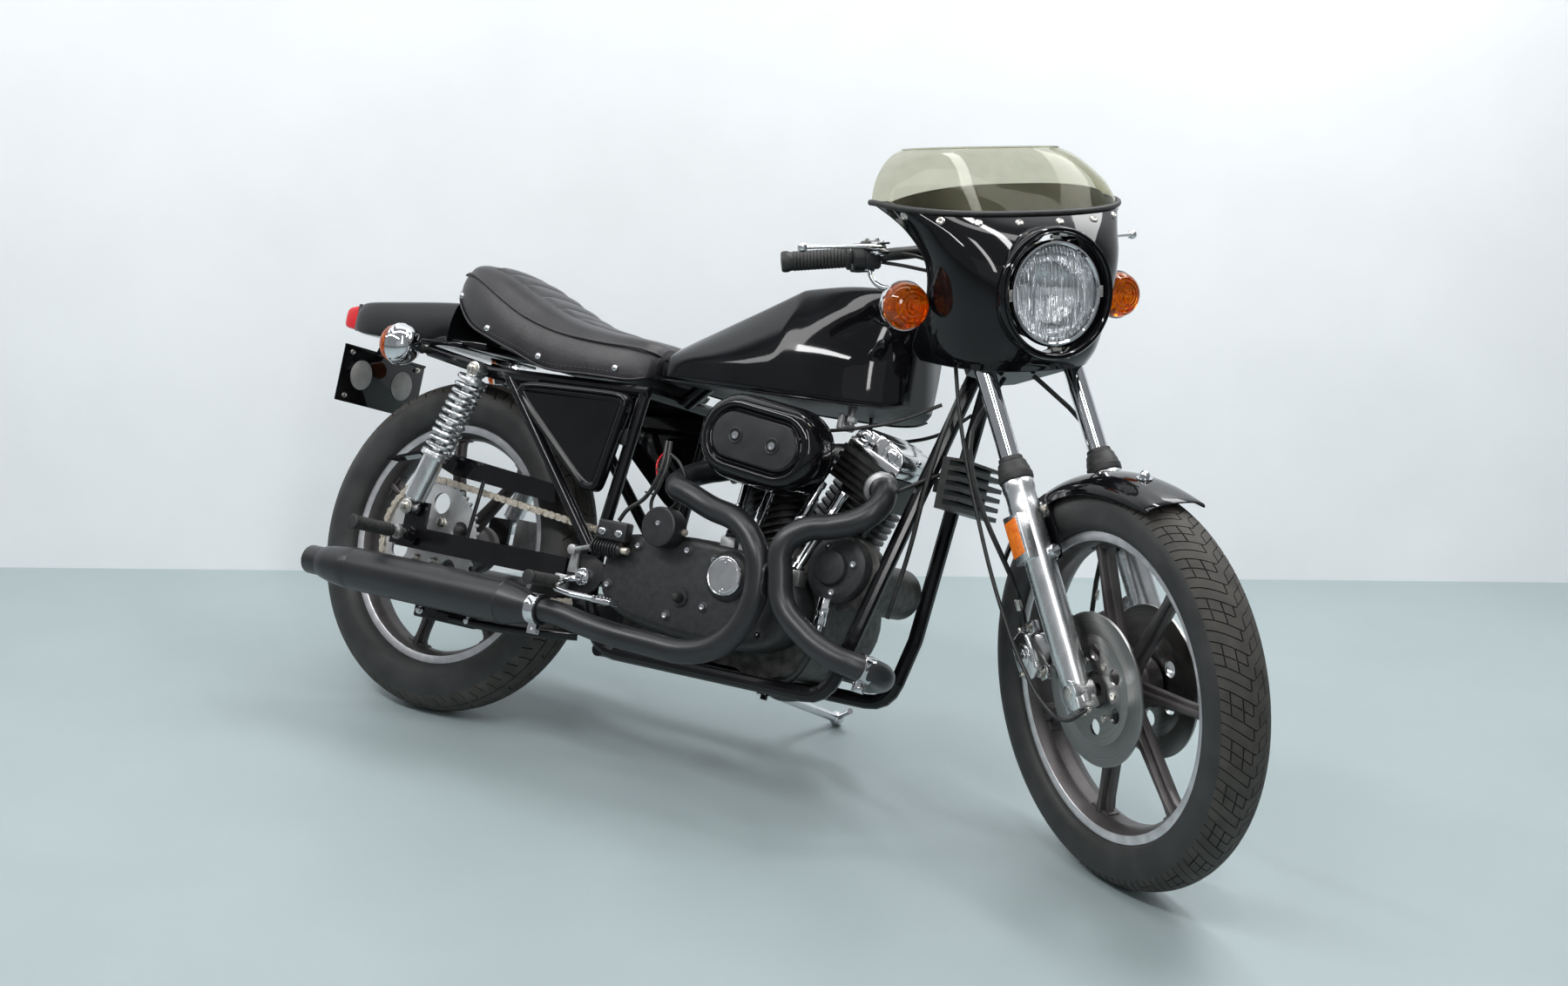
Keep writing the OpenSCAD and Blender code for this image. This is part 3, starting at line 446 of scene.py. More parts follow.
finishLooks = {
    # darker tone, lighter tone, roughness, and what differs from the plain finish
    "glossBlack": ((0.003, 0.003, 0.0035), (0.006, 0.006, 0.0075), 0.05,
        dict(grain=9, bump=0.02, bumpScale=90, roughSpread=0.02, ior=1.4)),
    "frameBlack": ((0.004, 0.004, 0.005), (0.009, 0.009, 0.01), 0.14,
        dict(grain=14, bump=0.04, bumpScale=140, roughSpread=0.05, ior=1.4)),
    "satinBlack": ((0.009, 0.009, 0.01), (0.018, 0.018, 0.019), 0.42,
        dict(grain=30, bump=0.1, bumpScale=500, roughSpread=0.08)),
    "wrinkleBlack": ((0.014, 0.0145, 0.0155), (0.024, 0.0245, 0.026), 0.46,
        dict(grain=90, bump=0.55, bumpScale=620, roughSpread=0.08)),
    "finBlack": ((0.006, 0.006, 0.006), (0.016, 0.016, 0.0155), 0.4,
        dict(grain=60, bump=0.3, bumpScale=420, roughSpread=0.1)),
    "pipeBlack": ((0.012, 0.0125, 0.014), (0.021, 0.0215, 0.024), 0.34,
        dict(grain=7, bump=0.12, bumpScale=900, roughSpread=0.07)),
    "caseGrey": ((0.05, 0.049, 0.046), (0.12, 0.117, 0.11), 0.5,
        dict(metallic=0.7, grain=60, bump=0.35, bumpScale=500, roughSpread=0.1)),
    "polished": ((0.62, 0.62, 0.63), (0.8, 0.8, 0.81), 0.17,
        dict(metallic=1.0, grain=18, bump=0.06, bumpScale=240, roughSpread=0.06)),
    "castAlloy": ((0.38, 0.38, 0.38), (0.6, 0.6, 0.6), 0.4,
        dict(metallic=0.9, grain=50, bump=0.3, bumpScale=700, roughSpread=0.09)),
    "chrome": ((0.62, 0.63, 0.65), (0.8, 0.81, 0.83), 0.06,
        dict(metallic=1.0, grain=12, bump=0.02, bumpScale=120, roughSpread=0.03)),
    "zinc": ((0.5, 0.48, 0.44), (0.72, 0.7, 0.66), 0.28,
        dict(metallic=1.0, grain=120, bump=0.1, bumpScale=500, roughSpread=0.08)),
    "legAlloy": ((0.66, 0.67, 0.68), (0.8, 0.81, 0.82), 0.27,
        dict(metallic=1.0, grain=9, bump=0.05, bumpScale=260, roughSpread=0.05, stretch=(6, 6, 1))),
    "sprocketAlloy": ((0.6, 0.6, 0.6), (0.8, 0.8, 0.8), 0.36,
        dict(metallic=0.9, grain=22, bump=0.1, bumpScale=320, roughSpread=0.08)),
    "chainGold": ((0.56, 0.5, 0.42), (0.84, 0.78, 0.68), 0.36,
        dict(metallic=0.75, grain=200, bump=0.15, bumpScale=600, roughSpread=0.1)),
    "wheelGrey": ((0.075, 0.068, 0.068), (0.125, 0.115, 0.115), 0.42,
        dict(metallic=0.55, grain=16, bump=0.2, bumpScale=520, roughSpread=0.08)),
    "rimLip": ((0.62, 0.62, 0.64), (0.8, 0.8, 0.82), 0.34,
        dict(metallic=0.8, grain=40, bump=0.08, bumpScale=400, roughSpread=0.06)),
    "tyreRubber": ((0.018, 0.018, 0.018), (0.034, 0.034, 0.034), 0.55,
        dict(grain=18, bump=0.25, bumpScale=900, roughSpread=0.1)),
    "treadRubber": ((0.032, 0.03, 0.026), (0.06, 0.056, 0.05), 0.72,
        dict(grain=30, bump=0.35, bumpScale=700, roughSpread=0.1)),
    "rubber": ((0.012, 0.012, 0.012), (0.026, 0.026, 0.026), 0.55,
        dict(grain=60, bump=0.2, bumpScale=800, roughSpread=0.1)),
    "hose": ((0.008, 0.008, 0.008), (0.02, 0.02, 0.02), 0.38,
        dict(grain=80, bump=0.1, bumpScale=900, roughSpread=0.08)),
    "leather": ((0.013, 0.012, 0.0135), (0.025, 0.023, 0.026), 0.3,
        dict(grain=22, bump=0.35, bumpScale=620, roughSpread=0.07, bumpKind="cells")),
    "thread": ((0.05, 0.05, 0.05), (0.09, 0.09, 0.09), 0.6,
        dict(grain=300, bump=0.3, bumpScale=900)),
    "reflectorOrange": ((0.85, 0.16, 0.01), (1.0, 0.26, 0.02), 0.2,
        dict(grain=120, bump=0.5, bumpScale=420, bumpKind="cells", coat=0.5)),
    "plateGrey": ((0.2, 0.2, 0.19), (0.3, 0.3, 0.29), 0.45,
        dict(grain=30, bump=0.1)),
}
finishes = {name: makeFinish(name, *look[:3], **look[3]) for name, look in finishLooks.items()}
finishes["discSteel"] = makeDiscFinish("discSteel", (0.2, 0.2, 0.195), (0.36, 0.355, 0.345), 0.3)


def makeLens(name, tint, rough=0.05, glow=0.0, density=1.0, wave=900.0, bump=0.3):
    # moulded see-through plastic with a fine pattern inside it
    made, tree, surface, where = newSurface(name)
    noise = addNode(tree, "TexNoise", Scale=40)
    link(where, "Object", noise, "Vector")
    tones = tinted(tree, noise, [c * 0.82 for c in tint], tint, surface)
    surface.inputs["Roughness"].default_value = rough
    surface.inputs["Transmission Weight"].default_value = density
    surface.inputs["IOR"].default_value = 1.45
    if glow:
        link(tones, "Color", surface, "Emission Color")
        surface.inputs["Emission Strength"].default_value = glow
    fine = addNode(tree, "TexNoise", Scale=wave)
    link(where, "Object", fine, "Vector")
    raised = addNode(tree, "Bump", Strength=bump, Distance=0.0006)
    link(fine, "Fac", raised, "Height")
    link(raised, "Normal", surface, "Normal")
    return made


finishes["amber"] = makeLens("amber", (0.95, 0.21, 0.003), rough=0.03, density=0.85, wave=260, bump=0.15)
finishes["redLens"] = makeLens("redLens", (0.8, 0.01, 0.02), glow=0.1, density=0.35)
finishes["clearLens"] = makeLens("clearLens", (0.98, 0.99, 0.99), rough=0.01, density=1.0, wave=110,
    bump=0.3)
tree = finishes["clearLens"].node_tree      # upright flutes moulded into the headlamp glass
flutes = addNode(tree, "TexWave")
flutes.bands_direction = "Y"
flutes.inputs["Scale"].default_value = 46
flutes.inputs["Distortion"].default_value = 0.6
facing = addNode(tree, "Mapping")
facing.vector_type = "TEXTURE"
facing.inputs["Rotation"].default_value = steered.to_3x3().to_euler()
tree.links.new(tree.nodes["Texture Coordinate"].outputs["Object"], facing.inputs["Vector"])
link(facing, "Vector", flutes, "Vector")
ridged = addNode(tree, "Bump", Strength=0.3, Distance=0.002)
link(flutes, "Fac", ridged, "Height")
tree.links.new(tree.nodes["Bump"].outputs["Normal"], ridged.inputs["Normal"])
tree.links.new(ridged.outputs["Normal"], tree.nodes["Principled BSDF"].inputs["Normal"])
finishes["smoke"] = makeLens("smoke", (0.64, 0.63, 0.5), rough=0.02, density=1.0, wave=6, bump=0.02)
finishes["smoke"].node_tree.nodes["Principled BSDF"].inputs["IOR"].default_value = 1.14      # a thin sheet
print("finishes made:", len(finishes))

# carried-over CAD nodes get a finish each

nodeFinish = {
    "frame": "frameBlack", "swingarm": "frameBlack", "crankcase": "caseGrey", "gear_cover": "wrinkleBlack",
    "primary_cover": "wrinkleBlack", "front_cylinder": "finBlack", "rear_cylinder": "finBlack",
    "rocker_boxes": "polished", "carburettor": "castAlloy", "air_cleaner": "glossBlack",
    "exhaust_headers": "pipeBlack", "mufflers": "pipeBlack", "side_covers": "glossBlack",
    "fuel_tank": "glossBlack", "seat": "leather", "tail_section": "glossBlack", "tail_lamp": "redLens",
    "number_plate": "glossBlack", "rear_shocks": "chrome", "chain": "chainGold",
        "chain_guard": "glossBlack",
    "rear_signals": "amber", "foot_controls": "satinBlack", "rear_caliper": "castAlloy",
    "regulator": "finBlack", "triple_clamps": "frameBlack", "fork_tubes": "chrome",
    "fork_legs": "polished", "front_fender": "glossBlack", "handlebar": "satinBlack", "levers": "polished",
    "fairing": "glossBlack", "windscreen": "smoke", "headlamp": "chrome", "front_signals": "amber",
    "instruments": "satinBlack", "front_calipers": "castAlloy", "brake_hoses": "hose",
    "front_wheel": "wheelGrey", "front_tyre": "tyreRubber", "front_discs": "discSteel",
    "rear_wheel": "wheelGrey", "rear_tyre": "tyreRubber", "rear_sprocket": "sprocketAlloy",
    "side_stand": "chrome",
}
for nodeName, finishName in nodeFinish.items():
    nodes[nodeName].data.materials.clear()
    nodes[nodeName].data.materials.append(finishes[finishName])

# tyres

def tyreProfile(r, halfWidth, rimRadius, rimHalf, treadAngles):
    # closed section, from one bead over the crown to the other: (radius, along, angle or None)
    crown = halfWidth * 0.87      # height of the rounded tread
    side = []
    for a in (12, 24, 36, 48, 60, 72, 82, 90):
        a = math.radians(a)
        side.append((r - crown - (r - crown - rimRadius - 0.0004) * math.sin(a), rimHalf + 0.002
            + (halfWidth - rimHalf - 0.002) * math.cos(a)))
    shoulder = [(r - crown + crown * math.cos(math.radians(a)), halfWidth * math.sin(math.radians(a)))
        for a in (64, 66, 74, 76, 84, 90)]
    # a low rib runs round the sidewall
    side[2] = (side[2][0], side[2][1] + 0.0008)
    bead = [(rimRadius + 0.0004, rimHalf - 0.0045), (rimRadius - 0.012, rimHalf - 0.0047)]
    left = [(x, y, None) for x, y in shoulder + side + bead]
    middle = [(r - crown + crown * math.cos(math.radians(a)), halfWidth * math.sin(math.radians(a)), a)
        for a in treadAngles]
    return [(x, -y, None) for x, y, _ in reversed(left)] + middle + left


def makeTyre(name, where, node, size, cutFace, slant):
    profile = tyreProfile(size["radius"], size["halfWidth"], size["rimRadius"], size["rimHalf"],
        size["treadAngles"])
    rows = len(profile) + 1
    pitch = math.tau / size["grooves"]
    groove = size["grooveWidth"] / size["radius"]
    columns = size["grooves"] * 2 + 1

    def at(i, j):
        radius, along, angle = profile[j % len(profile)]
        turned = pitch * (i // 2) + (groove if i % 2 else 0)
        lean = slant(angle if angle is not None else math.copysign(64, along))
        turned += lean
        return radius * math.cos(turned), along, radius * math.sin(turned)

    tyre = gridSkin(columns, rows, at, loopColumns=True, loopRows=True)
    outwards(tyre)
    editing(tyre)

    def isGroove(face):
        middle = face.calc_center_median()
        radius = math.hypot(middle.x, middle.z)
        across = middle.y / size["halfWidth"]
        if abs(across) > math.sin(math.radians(64)) or radius < size["radius"] - size["halfWidth"] * 0.6:
            return False
        angle = math.degrees(math.asin(max(-1, min(1, across))))
        turned = math.atan2(middle.z, middle.x) - slant(angle)
        step = (turned % math.tau) / pitch
        inCut = (step % 1) < groove / pitch
        return cutFace(int(step + 0.0001) % size["grooves"], angle, inCut)

    pick(tyre, "faces", isGroove)
    bpy.ops.mesh.extrude_region_shrink_fatten(TRANSFORM_OT_shrink_fatten={"value": -size["grooveDepth"]})
    leaveEdit()
    tyre.data.materials.clear()
    tyre.data.materials.append(finishes["tyreRubber"])
    tyre.data.materials.append(finishes["treadRubber"])
    edge = math.sin(math.radians(62)) * size["halfWidth"]
    for face in tyre.data.polygons:
        if abs(face.center.y) < edge and math.hypot(face.center.x, face.center.z) > size["radius"] - 0.03:
            face.material_index = 1
    finish(tyre, name, where, None, stands=node, smooth=28, slot="tyre_rubber")
    print(name, "faces", len(tyre.data.polygons))


frontTread = {
    "radius": 0.3343, "halfWidth": 0.0514, "rimRadius": 0.2553, "rimHalf": 0.034,
    "grooves": 112, "grooveWidth": 0.0022, "grooveDepth": 0.0045,
    "treadAngles": (-64, -54, -46, -43.5, -34, -25, -22.5, -15, -7, -4.5, 0, 4.5, 7, 15, 22.5, 25, 34,
        43.5, 46, 54, 64),
}


def frontCuts(step, angle, inCut):
    band = abs(angle)
    if inCut:
        return band > 6 or step % 2 == 0
    if 43.5 < band < 46:
        return step % 4 < 2
    if 22.5 < band < 25:
        return step % 4 >= 2 if angle > 0 else step % 4 < 2
    if 4.5 < band < 7:
        return step % 2 == (0 if angle > 0 else 1)
    return False


makeTyre("frontTyreTread", onFrontWheel, "front_tyre", frontTread, frontCuts, lambda angle: 0.115
    * math.sin(math.radians(min(abs(angle), 64))) ** 1.1)

rearTread = {
    "radius": 0.3343, "halfWidth": 0.0579, "rimRadius": 0.2426, "rimHalf": 0.034,
    "grooves": 84, "grooveWidth": 0.003, "grooveDepth": 0.005,
    "treadAngles": (-64, -56, -48, -44, -36, -31, -28.5, -20, -12, -8, -5.5, 0, 5.5, 8, 12, 20, 28.5, 31,
        36, 44, 48, 56, 64),
}


def rearCuts(step, angle, inCut):
    band = abs(angle)
    if inCut:
        return (band > 44 and step % 2 == 0) or (31 < band < 56 and step % 2 == 1) or (8 < band < 20
            and step % 4 == 0)
    return 28.5 < band < 31 or (5.5 < band < 8 and step % 4 != 3)


makeTyre("rearTyreTread", onRearWheel, "rear_tyre", rearTread, rearCuts, lambda angle: 0.05
    * math.sin(math.radians(min(abs(angle), 64)) * 2.6))


# cast wheels

wheels = {
    "spokes": 7, "rimHalf": 0.034,
    "front": {"rimRadius": 0.2553, "hubRadius": 0.044, "hubHalf": 0.0514},
    "rear": {"rimRadius": 0.2426, "hubRadius": 0.048, "hubHalf": 0.0798},
    "spokeRoot": 0.0175, "spokeTip": 0.0125, "spokeHalf": 0.006, "ribHalf": 0.0165, "ribRoot": 0.0075,
        "ribTip": 0.0045,
}


def castRim(rimRadius):
    half = wheels["rimHalf"]
    bed = rimRadius - 0.0133
    right = [(rimRadius, half - 0.001), (rimRadius - 0.001, half), (rimRadius - 0.0145, half), (rimRadius
        - 0.016, half - 0.0012), (bed - 0.0065, half - 0.007), (bed - 0.01, half - 0.012), (bed - 0.0135,
        0.014), (bed - 0.014, 0.01)]
    outer = [(rimRadius, half - 0.0042), (bed, half - 0.0042)]
    profile = [(bed, 0.0)] + [outer[1], outer[0]] + right + [(bed - 0.014, 0.0)]
    mirrored = [(x, -y) for x, y in reversed(profile[1:-1])]
    profile = profile + mirrored + [(bed, 0.0)]
    return lathe(profile, steps=128)


def makeWheel(name, where, node, size):
    rimRadius, hubRadius, hubHalf = size["rimRadius"], size["hubRadius"], size["hubHalf"]
    bed = rimRadius - 0.0133
    rim = castRim(rimRadius)
    lipFaces = [f.index for f in rim.data.polygons if math.hypot(f.center.x, f.center.z) > rimRadius
        - 0.0165 and abs(f.center.y) > wheels["rimHalf"] - 0.0015]
    rim.data.materials.append(finishes["wheelGrey"])
    rim.data.materials.append(finishes["rimLip"])
    for index in lipFaces:
        rim.data.polygons[index].material_index = 1
    bore = 0.0106
    hub = lathe([(bore, 0), (bore, hubHalf), (hubRadius * 0.55, hubHalf), (hubRadius * 0.6, hubHalf
        - 0.002), (hubRadius * 0.92, hubHalf - 0.002), (hubRadius, hubHalf - 0.005), (hubRadius, hubHalf
        - 0.02), (hubRadius - 0.006, hubHalf - 0.026), (hubRadius - 0.006, 0.018), (hubRadius + 0.002,
        0.01), (hubRadius + 0.002, -0.01), (hubRadius - 0.006, -0.018), (hubRadius - 0.006, 0.026
        - hubHalf), (hubRadius, 0.02 - hubHalf), (hubRadius, 0.005 - hubHalf), (hubRadius * 0.92, 0.002
        - hubHalf), (hubRadius * 0.6, 0.002 - hubHalf), (hubRadius * 0.55, -hubHalf), (bore, -hubHalf),
        (bore, 0)], steps=48)
    root, tip, reach, start = wheels["spokeRoot"], wheels["spokeTip"], bed - 0.009, hubRadius - 0.005
    web = slab(evenOutline([(start, root), (start + 0.05, root * 0.82), (reach - 0.05, tip * 0.85), (reach
        - 0.018, tip), (reach, tip * 1.9)]), -wheels["spokeHalf"], wheels["spokeHalf"], edge=0.0022)
    rib = slab(evenOutline([(start, wheels["ribRoot"]), (reach - 0.03, wheels["ribTip"]), (reach + 0.002,
        wheels["ribTip"] * 1.7)]), -wheels["ribHalf"], wheels["ribHalf"], edge=0.003, segments=3)
    foot = block((reach - 0.009, -0.0125, -tip * 1.9), (reach - 0.003, 0.0125, tip * 1.9), edge=0.0022)
    spoke = join([web, rib, foot], "spoke")
    parts = [rim, hub]
    for angle in ring(wheels["spokes"]):
        parts.append(copyOf(spoke, Matrix.Rotation(-angle, 4, "Y")))
    bpy.data.objects.remove(spoke)
    for part in parts[1:]:
        part.data.materials.clear()
        part.data.materials.append(finishes["wheelGrey"])
    whole = join(parts, name)
    finish(whole, name, where, None, stands=node, smooth=40, slot="cast_wheel")


makeWheel("frontCastWheel", onFrontWheel, "front_wheel", wheels["front"])
makeWheel("rearCastWheel", onRearWheel, "rear_wheel", wheels["rear"])
print("wheels made")

# brake discs, their screws, and the rear sprocket

brakes = {"bore": 0.03, "screws": 6, "screwCircle": 0.05, "radius": 0.1268, "thick": 0.0048, "holes": 6,
    "holeRadius": 0.0135, "holeCircle": 0.062, "frontY": 0.0541}


def cutHoles(obj, spots, radius, depth, y=0.0):
    # round holes through a plate that faces along Y
    cutters = []
    for x, z in spots:
        cutters.append(rod((x, y - depth, z), (x, y + depth, z), radius, sides=24))
    cutter = join(cutters, "cutter")
    modifier(obj, "BOOLEAN", object=cutter, operation="DIFFERENCE", solver="EXACT")
    bpy.data.objects.remove(cutter)


def screwHead(spot, out, radius, height):
    # cap screw with a hexagon socket; spot is the seat's middle and out its outward direction
    clearSelection()
    bpy.ops.mesh.primitive_cylinder_add(vertices=20, radius=radius, depth=height, location=(0, 0, height
        / 2))
    head = bpy.context.object
    bpy.ops.object.transform_apply(location=True)
    editing(head)
    pick(head, "faces", lambda f: f.normal.z > 0.9)
    bpy.ops.mesh.inset(thickness=radius * 0.18)
    bpy.ops.mesh.inset(thickness=radius * 0.25)
    bpy.ops.mesh.extrude_region_move(TRANSFORM_OT_translate={"value": (0, 0, -height * 0.6)})
    leaveEdit()
    return aim(head, spot, out)


def hexHead(spot, out, across=0.01, height=0.006):
    # hexagon bolt head on a washer, its corners chamfered
    clearSelection()
    bpy.ops.mesh.primitive_cylinder_add(vertices=6, radius=across / 2 / math.cos(math.pi / 6),
        depth=height, location=(0, 0, height / 2 + 0.0012))
    head = bpy.context.object
    bpy.ops.object.transform_apply(location=True)
    modifier(head, "BEVEL", width=across * 0.07, segments=2)
    clearSelection()
    bpy.ops.mesh.primitive_cylinder_add(vertices=20, radius=across * 0.72, depth=0.0014,
        location=(0, 0, 0.0007))
    washer = bpy.context.object
    bpy.ops.object.transform_apply(location=True)
    whole = join([head, washer], "bolt")
    return aim(whole, spot, out)


def discPlate(y):
    half, big, boreRadius = brakes["thick"] / 2, brakes["radius"], brakes["bore"]
    step = 0.0003
    plate = lathe([(boreRadius, y - half), (boreRadius, y + half), (0.088, y + half), (0.089, y + half
        - step), (0.0905, y + half - step), (0.0915, y + half), (big - 0.001, y + half), (big, y + half
        - 0.001), (big, y - half + 0.001), (big - 0.001, y - half), (0.0915, y - half), (0.0905, y - half
        + step), (0.089, y - half + step), (0.088, y - half), (boreRadius, y - half)], steps=96)
    cutHoles(plate, circle(brakes["holeCircle"], brakes["holes"], 0.52), brakes["holeRadius"], 0.02, y)
    return plate


discParts = [discPlate(side * brakes["frontY"]) for side in (-1, 1)]
discs = join(discParts, "discs")
finish(discs, "frontBrakeDiscs", onFrontWheel, "discSteel", stands="front_discs", smooth=25,
    slot="brake_steel")
screws = []
for side in (-1, 1):
    for x, z in circle(brakes["screwCircle"], brakes["screws"]):
        screws.append(screwHead((x, side * (brakes["frontY"] + 0.0024), z), (0, side, 0), 0.006, 0.0022))
finish(screws, "frontDiscScrews", onFrontWheel, "zinc", slot="brake_steel")

sprocket = {"holes": 6, "boltCircle": 0.046, "rootRadius": 0.1166, "tipRadius": 0.1238, "teeth": 48,
    "chainY": -0.085, "holeCircle": 0.078, "holeRadius": 0.021, "thick": 0.006}


def makeSprocket():
    outline, root, tip = [], sprocket["rootRadius"], sprocket["tipRadius"]
    for a in ring(sprocket["teeth"]):
        for share, radius in ((-0.27, root), (-0.12, tip), (0.12, tip), (0.27, root)):
            t = a + share * math.tau / sprocket["teeth"]
            outline.append((radius * math.cos(t), radius * math.sin(t)))
    y, half = sprocket["chainY"], sprocket["thick"] / 2
    plate = slab(outline, y - half, y + half)
    cutHoles(plate, [(0, 0)], 0.0108, 0.02, y)
    cutHoles(plate, circle(sprocket["holeCircle"], sprocket["holes"], 0.35), sprocket["holeRadius"], 0.02,
        y)
    soften(plate, 0.0008, 50, 1)
    finish(plate, "rearSprocketPlate", onRearWheel, "sprocketAlloy", stands="rear_sprocket", smooth=20,
        slot="sprocket_alloy")
    bolts = [hexHead((x, y - half, z), (0, -1, 0), 0.014, 0.007) for x,
        z in circle(sprocket["boltCircle"], sprocket["holes"])]
    finish(bolts, "sprocketBolts", onRearWheel, "zinc")


makeSprocket()
print("discs and sprocket made")

def turned(profile, spot, out, steps=40):
    # (radius, height) profile turned round its own axis; height 0 sits at spot and rises along out
    return aim(lathe(profile, steps), spot, out, "Y", "Z")


# fork legs

forkLeg = {
    "half": 0.0885,      # from the middle to a tube
    "reflector": ((-0.019, 0.238), (0.017, 0.238), (0.017, 0.3), (-0.019, 0.3)),      # on the outer side
}


def makeForkLegs():
    half = forkLeg["half"]
    leg = turned([(0, -0.022), (0.0195, -0.022), (0.0215, -0.02), (0.0225, 0.02), (0.0235, 0.045),
        (0.0258, 0.062), (0.0258, 0.296), (0.0268, 0.3), (0.0268, 0.322), (0.0258, 0.326),
        (0.0258, 0.345), (0.0275, 0.352), (0.0275, 0.364), (0.026, 0.3665), (0, 0.3665)], (0, half, 0),
        (0, 0, 1), 48)
    clamp = rod((0, half - 0.021, 0), (0, half + 0.021, 0), 0.0225, sides=40, edge=0.002)
    foot = block((-0.02, half - 0.0205, -0.031), (0.02, half + 0.0205, -0.009), 0.003)
    boss = rod((0.014, half - 0.029, 0.31), (-0.004, half - 0.0255, 0.31), 0.013, sides=28, edge=0.002)
    arm = slab([(-0.012, 0.292), (0.012, 0.296), (0.012, 0.324), (-0.012, 0.328)], half - 0.0315, half
        - 0.012, edge=0.002)
    ears = []
    for low, high in ((0.048, 0.074), (0.128, 0.154)):
        ears.append(block((-0.046, half - 0.0215, low), (-0.01, half - 0.009, high), 0.004))
    pad = slab([(-0.024, 0.226), (0.022, 0.226), (0.022, 0.306), (-0.024, 0.312)], half + 0.008, half
        + 0.0335, edge=0.003)
    lug = rod((0.01, half - 0.0305, 0.234), (0.002, half - 0.01, 0.236), 0.0125, sides=28, edge=0.003)
    nub = rod((0.018, half - 0.012, 0.234), (0.032, half - 0.016, 0.232), 0.011, sides=24, edge=0.003)
    legs = bothSides(join([leg, clamp, foot, boss, arm, pad, lug, nub] + ears, "legs"), "legs")
    finish(legs, "forkSliders", onFork, "legAlloy", stands="fork_legs", smooth=32, slot="polished_alloy")
    boot = turned([(0.0178, 0.3668), (0.029, 0.3668), (0.0296, 0.3695), (0.0296, 0.377), (0.0282, 0.379),
        (0.0272, 0.3875), (0.0262, 0.389), (0.024, 0.3985), (0.0212, 0.4015), (0.0205, 0.408),
        (0.0178, 0.4085), (0.0178, 0.3668)], (0, half, 0), (0, 0, 1), 40)
    finish(boot, "forkBoots", onFork, "rubber", smooth=28, slot="control_rubber", both=True)
    small = [hexHead((x, half, -0.0308), (0, 0, -1), 0.01, 0.006) for x in (-0.013, 0.013)]
    small.append(rod((0, half + 0.02, 0), (0, half + 0.0225, 0), 0.0125, sides=28, edge=0.0006))
    small.append(hexHead((0.014, half - 0.03, 0.31), (1, -0.12, 0), 0.012, 0.006))
    finish(small, "forkBolts", onFork, "zinc", smooth=28, both=True)
    plate = slab(forkLeg["reflector"], half + 0.0335, half + 0.0362, edge=0.001)
    frames = [block((-0.0205, half + 0.033, 0.2365), (0.0185, half + 0.0346, 0.3015), 0.0006)]
    finish(frames, "reflectorFrames", onFork, "chrome", smooth=28, both=True)
    finish(plate, "forkReflectors", onFork, "reflectorOrange", smooth=28, both=True)


makeForkLegs()


# front fender

fender = {"radius": 0.3465, "half": 0.057, "wall": 0.003, "from": 66, "to": 148, "nutAt": 81}


def makeFender():
    # arc over the tyre, crowned across, its side edges rolled in; the side lugs reach the fork
    columns, rows = 45, 19
    start, end = math.radians(fender["from"]), math.radians(fender["to"])

    def at(i, j):
        a = start + (end - start) * i / (columns - 1)
        t = math.radians(-90 + 180 * j / (rows - 1))
        taper = 1 - 0.35 * max(0, (i - 34) / 10) ** 2 - 0.25 * max(0, (8 - i) / 8) ** 2
        short = 0.55 * max(0, (14 - i) / 14) ** 2      # the skirt rises to a clean front edge
        drop = 0.034 * (1 - abs(math.cos(t)) ** 0.8) * (1 - short)
        radius = fender["radius"] + fender["wall"] - drop
        return radius * math.cos(a), fender["half"] * math.sin(t) * (0.9 + 0.1
            * taper), radius * math.sin(a)

    skin = gridSkin(columns, rows, at)
    outwards(skin)
    modifier(skin, "SOLIDIFY", thickness=fender["wall"], offset=-1)
    soften(skin, 0.0008, 60)
    return skin


fenderSkin = makeFender()
finish(fenderSkin, "frontFenderSkin", onFender, "glossBlack", stands="front_fender", smooth=50,
    slot="gloss_black")
a = math.radians(fender["nutAt"])
crown = Vector((fender["radius"] * math.cos(a), 0, fender["radius"] * math.sin(a) + fender["wall"]))
nut = turned([(0, 0), (0.013, 0), (0.013, 0.002), (0.0085, 0.0025), (0.0085, 0.007), (0.0075, 0.01),
    (0.0045, 0.013), (0, 0.0138)], crown, (math.cos(a), 0, math.sin(a)), 24)
finish(nut, "fenderAcornNut", onFender, "chrome", smooth=40)
lugs = [block((-0.018, 0.048, 0.286), (0.022, 0.0575, 0.334), 0.002), slab([(-0.034, 0.33),
    (-0.03, 0.262), (-0.008, 0.22), (0.02, 0.222), (0.026, 0.262), (0.02, 0.33)], 0.0555, 0.0585,
    edge=0.001)]
finish(lugs, "fenderLugs", onFork, "glossBlack", smooth=30, both=True)


# front calipers

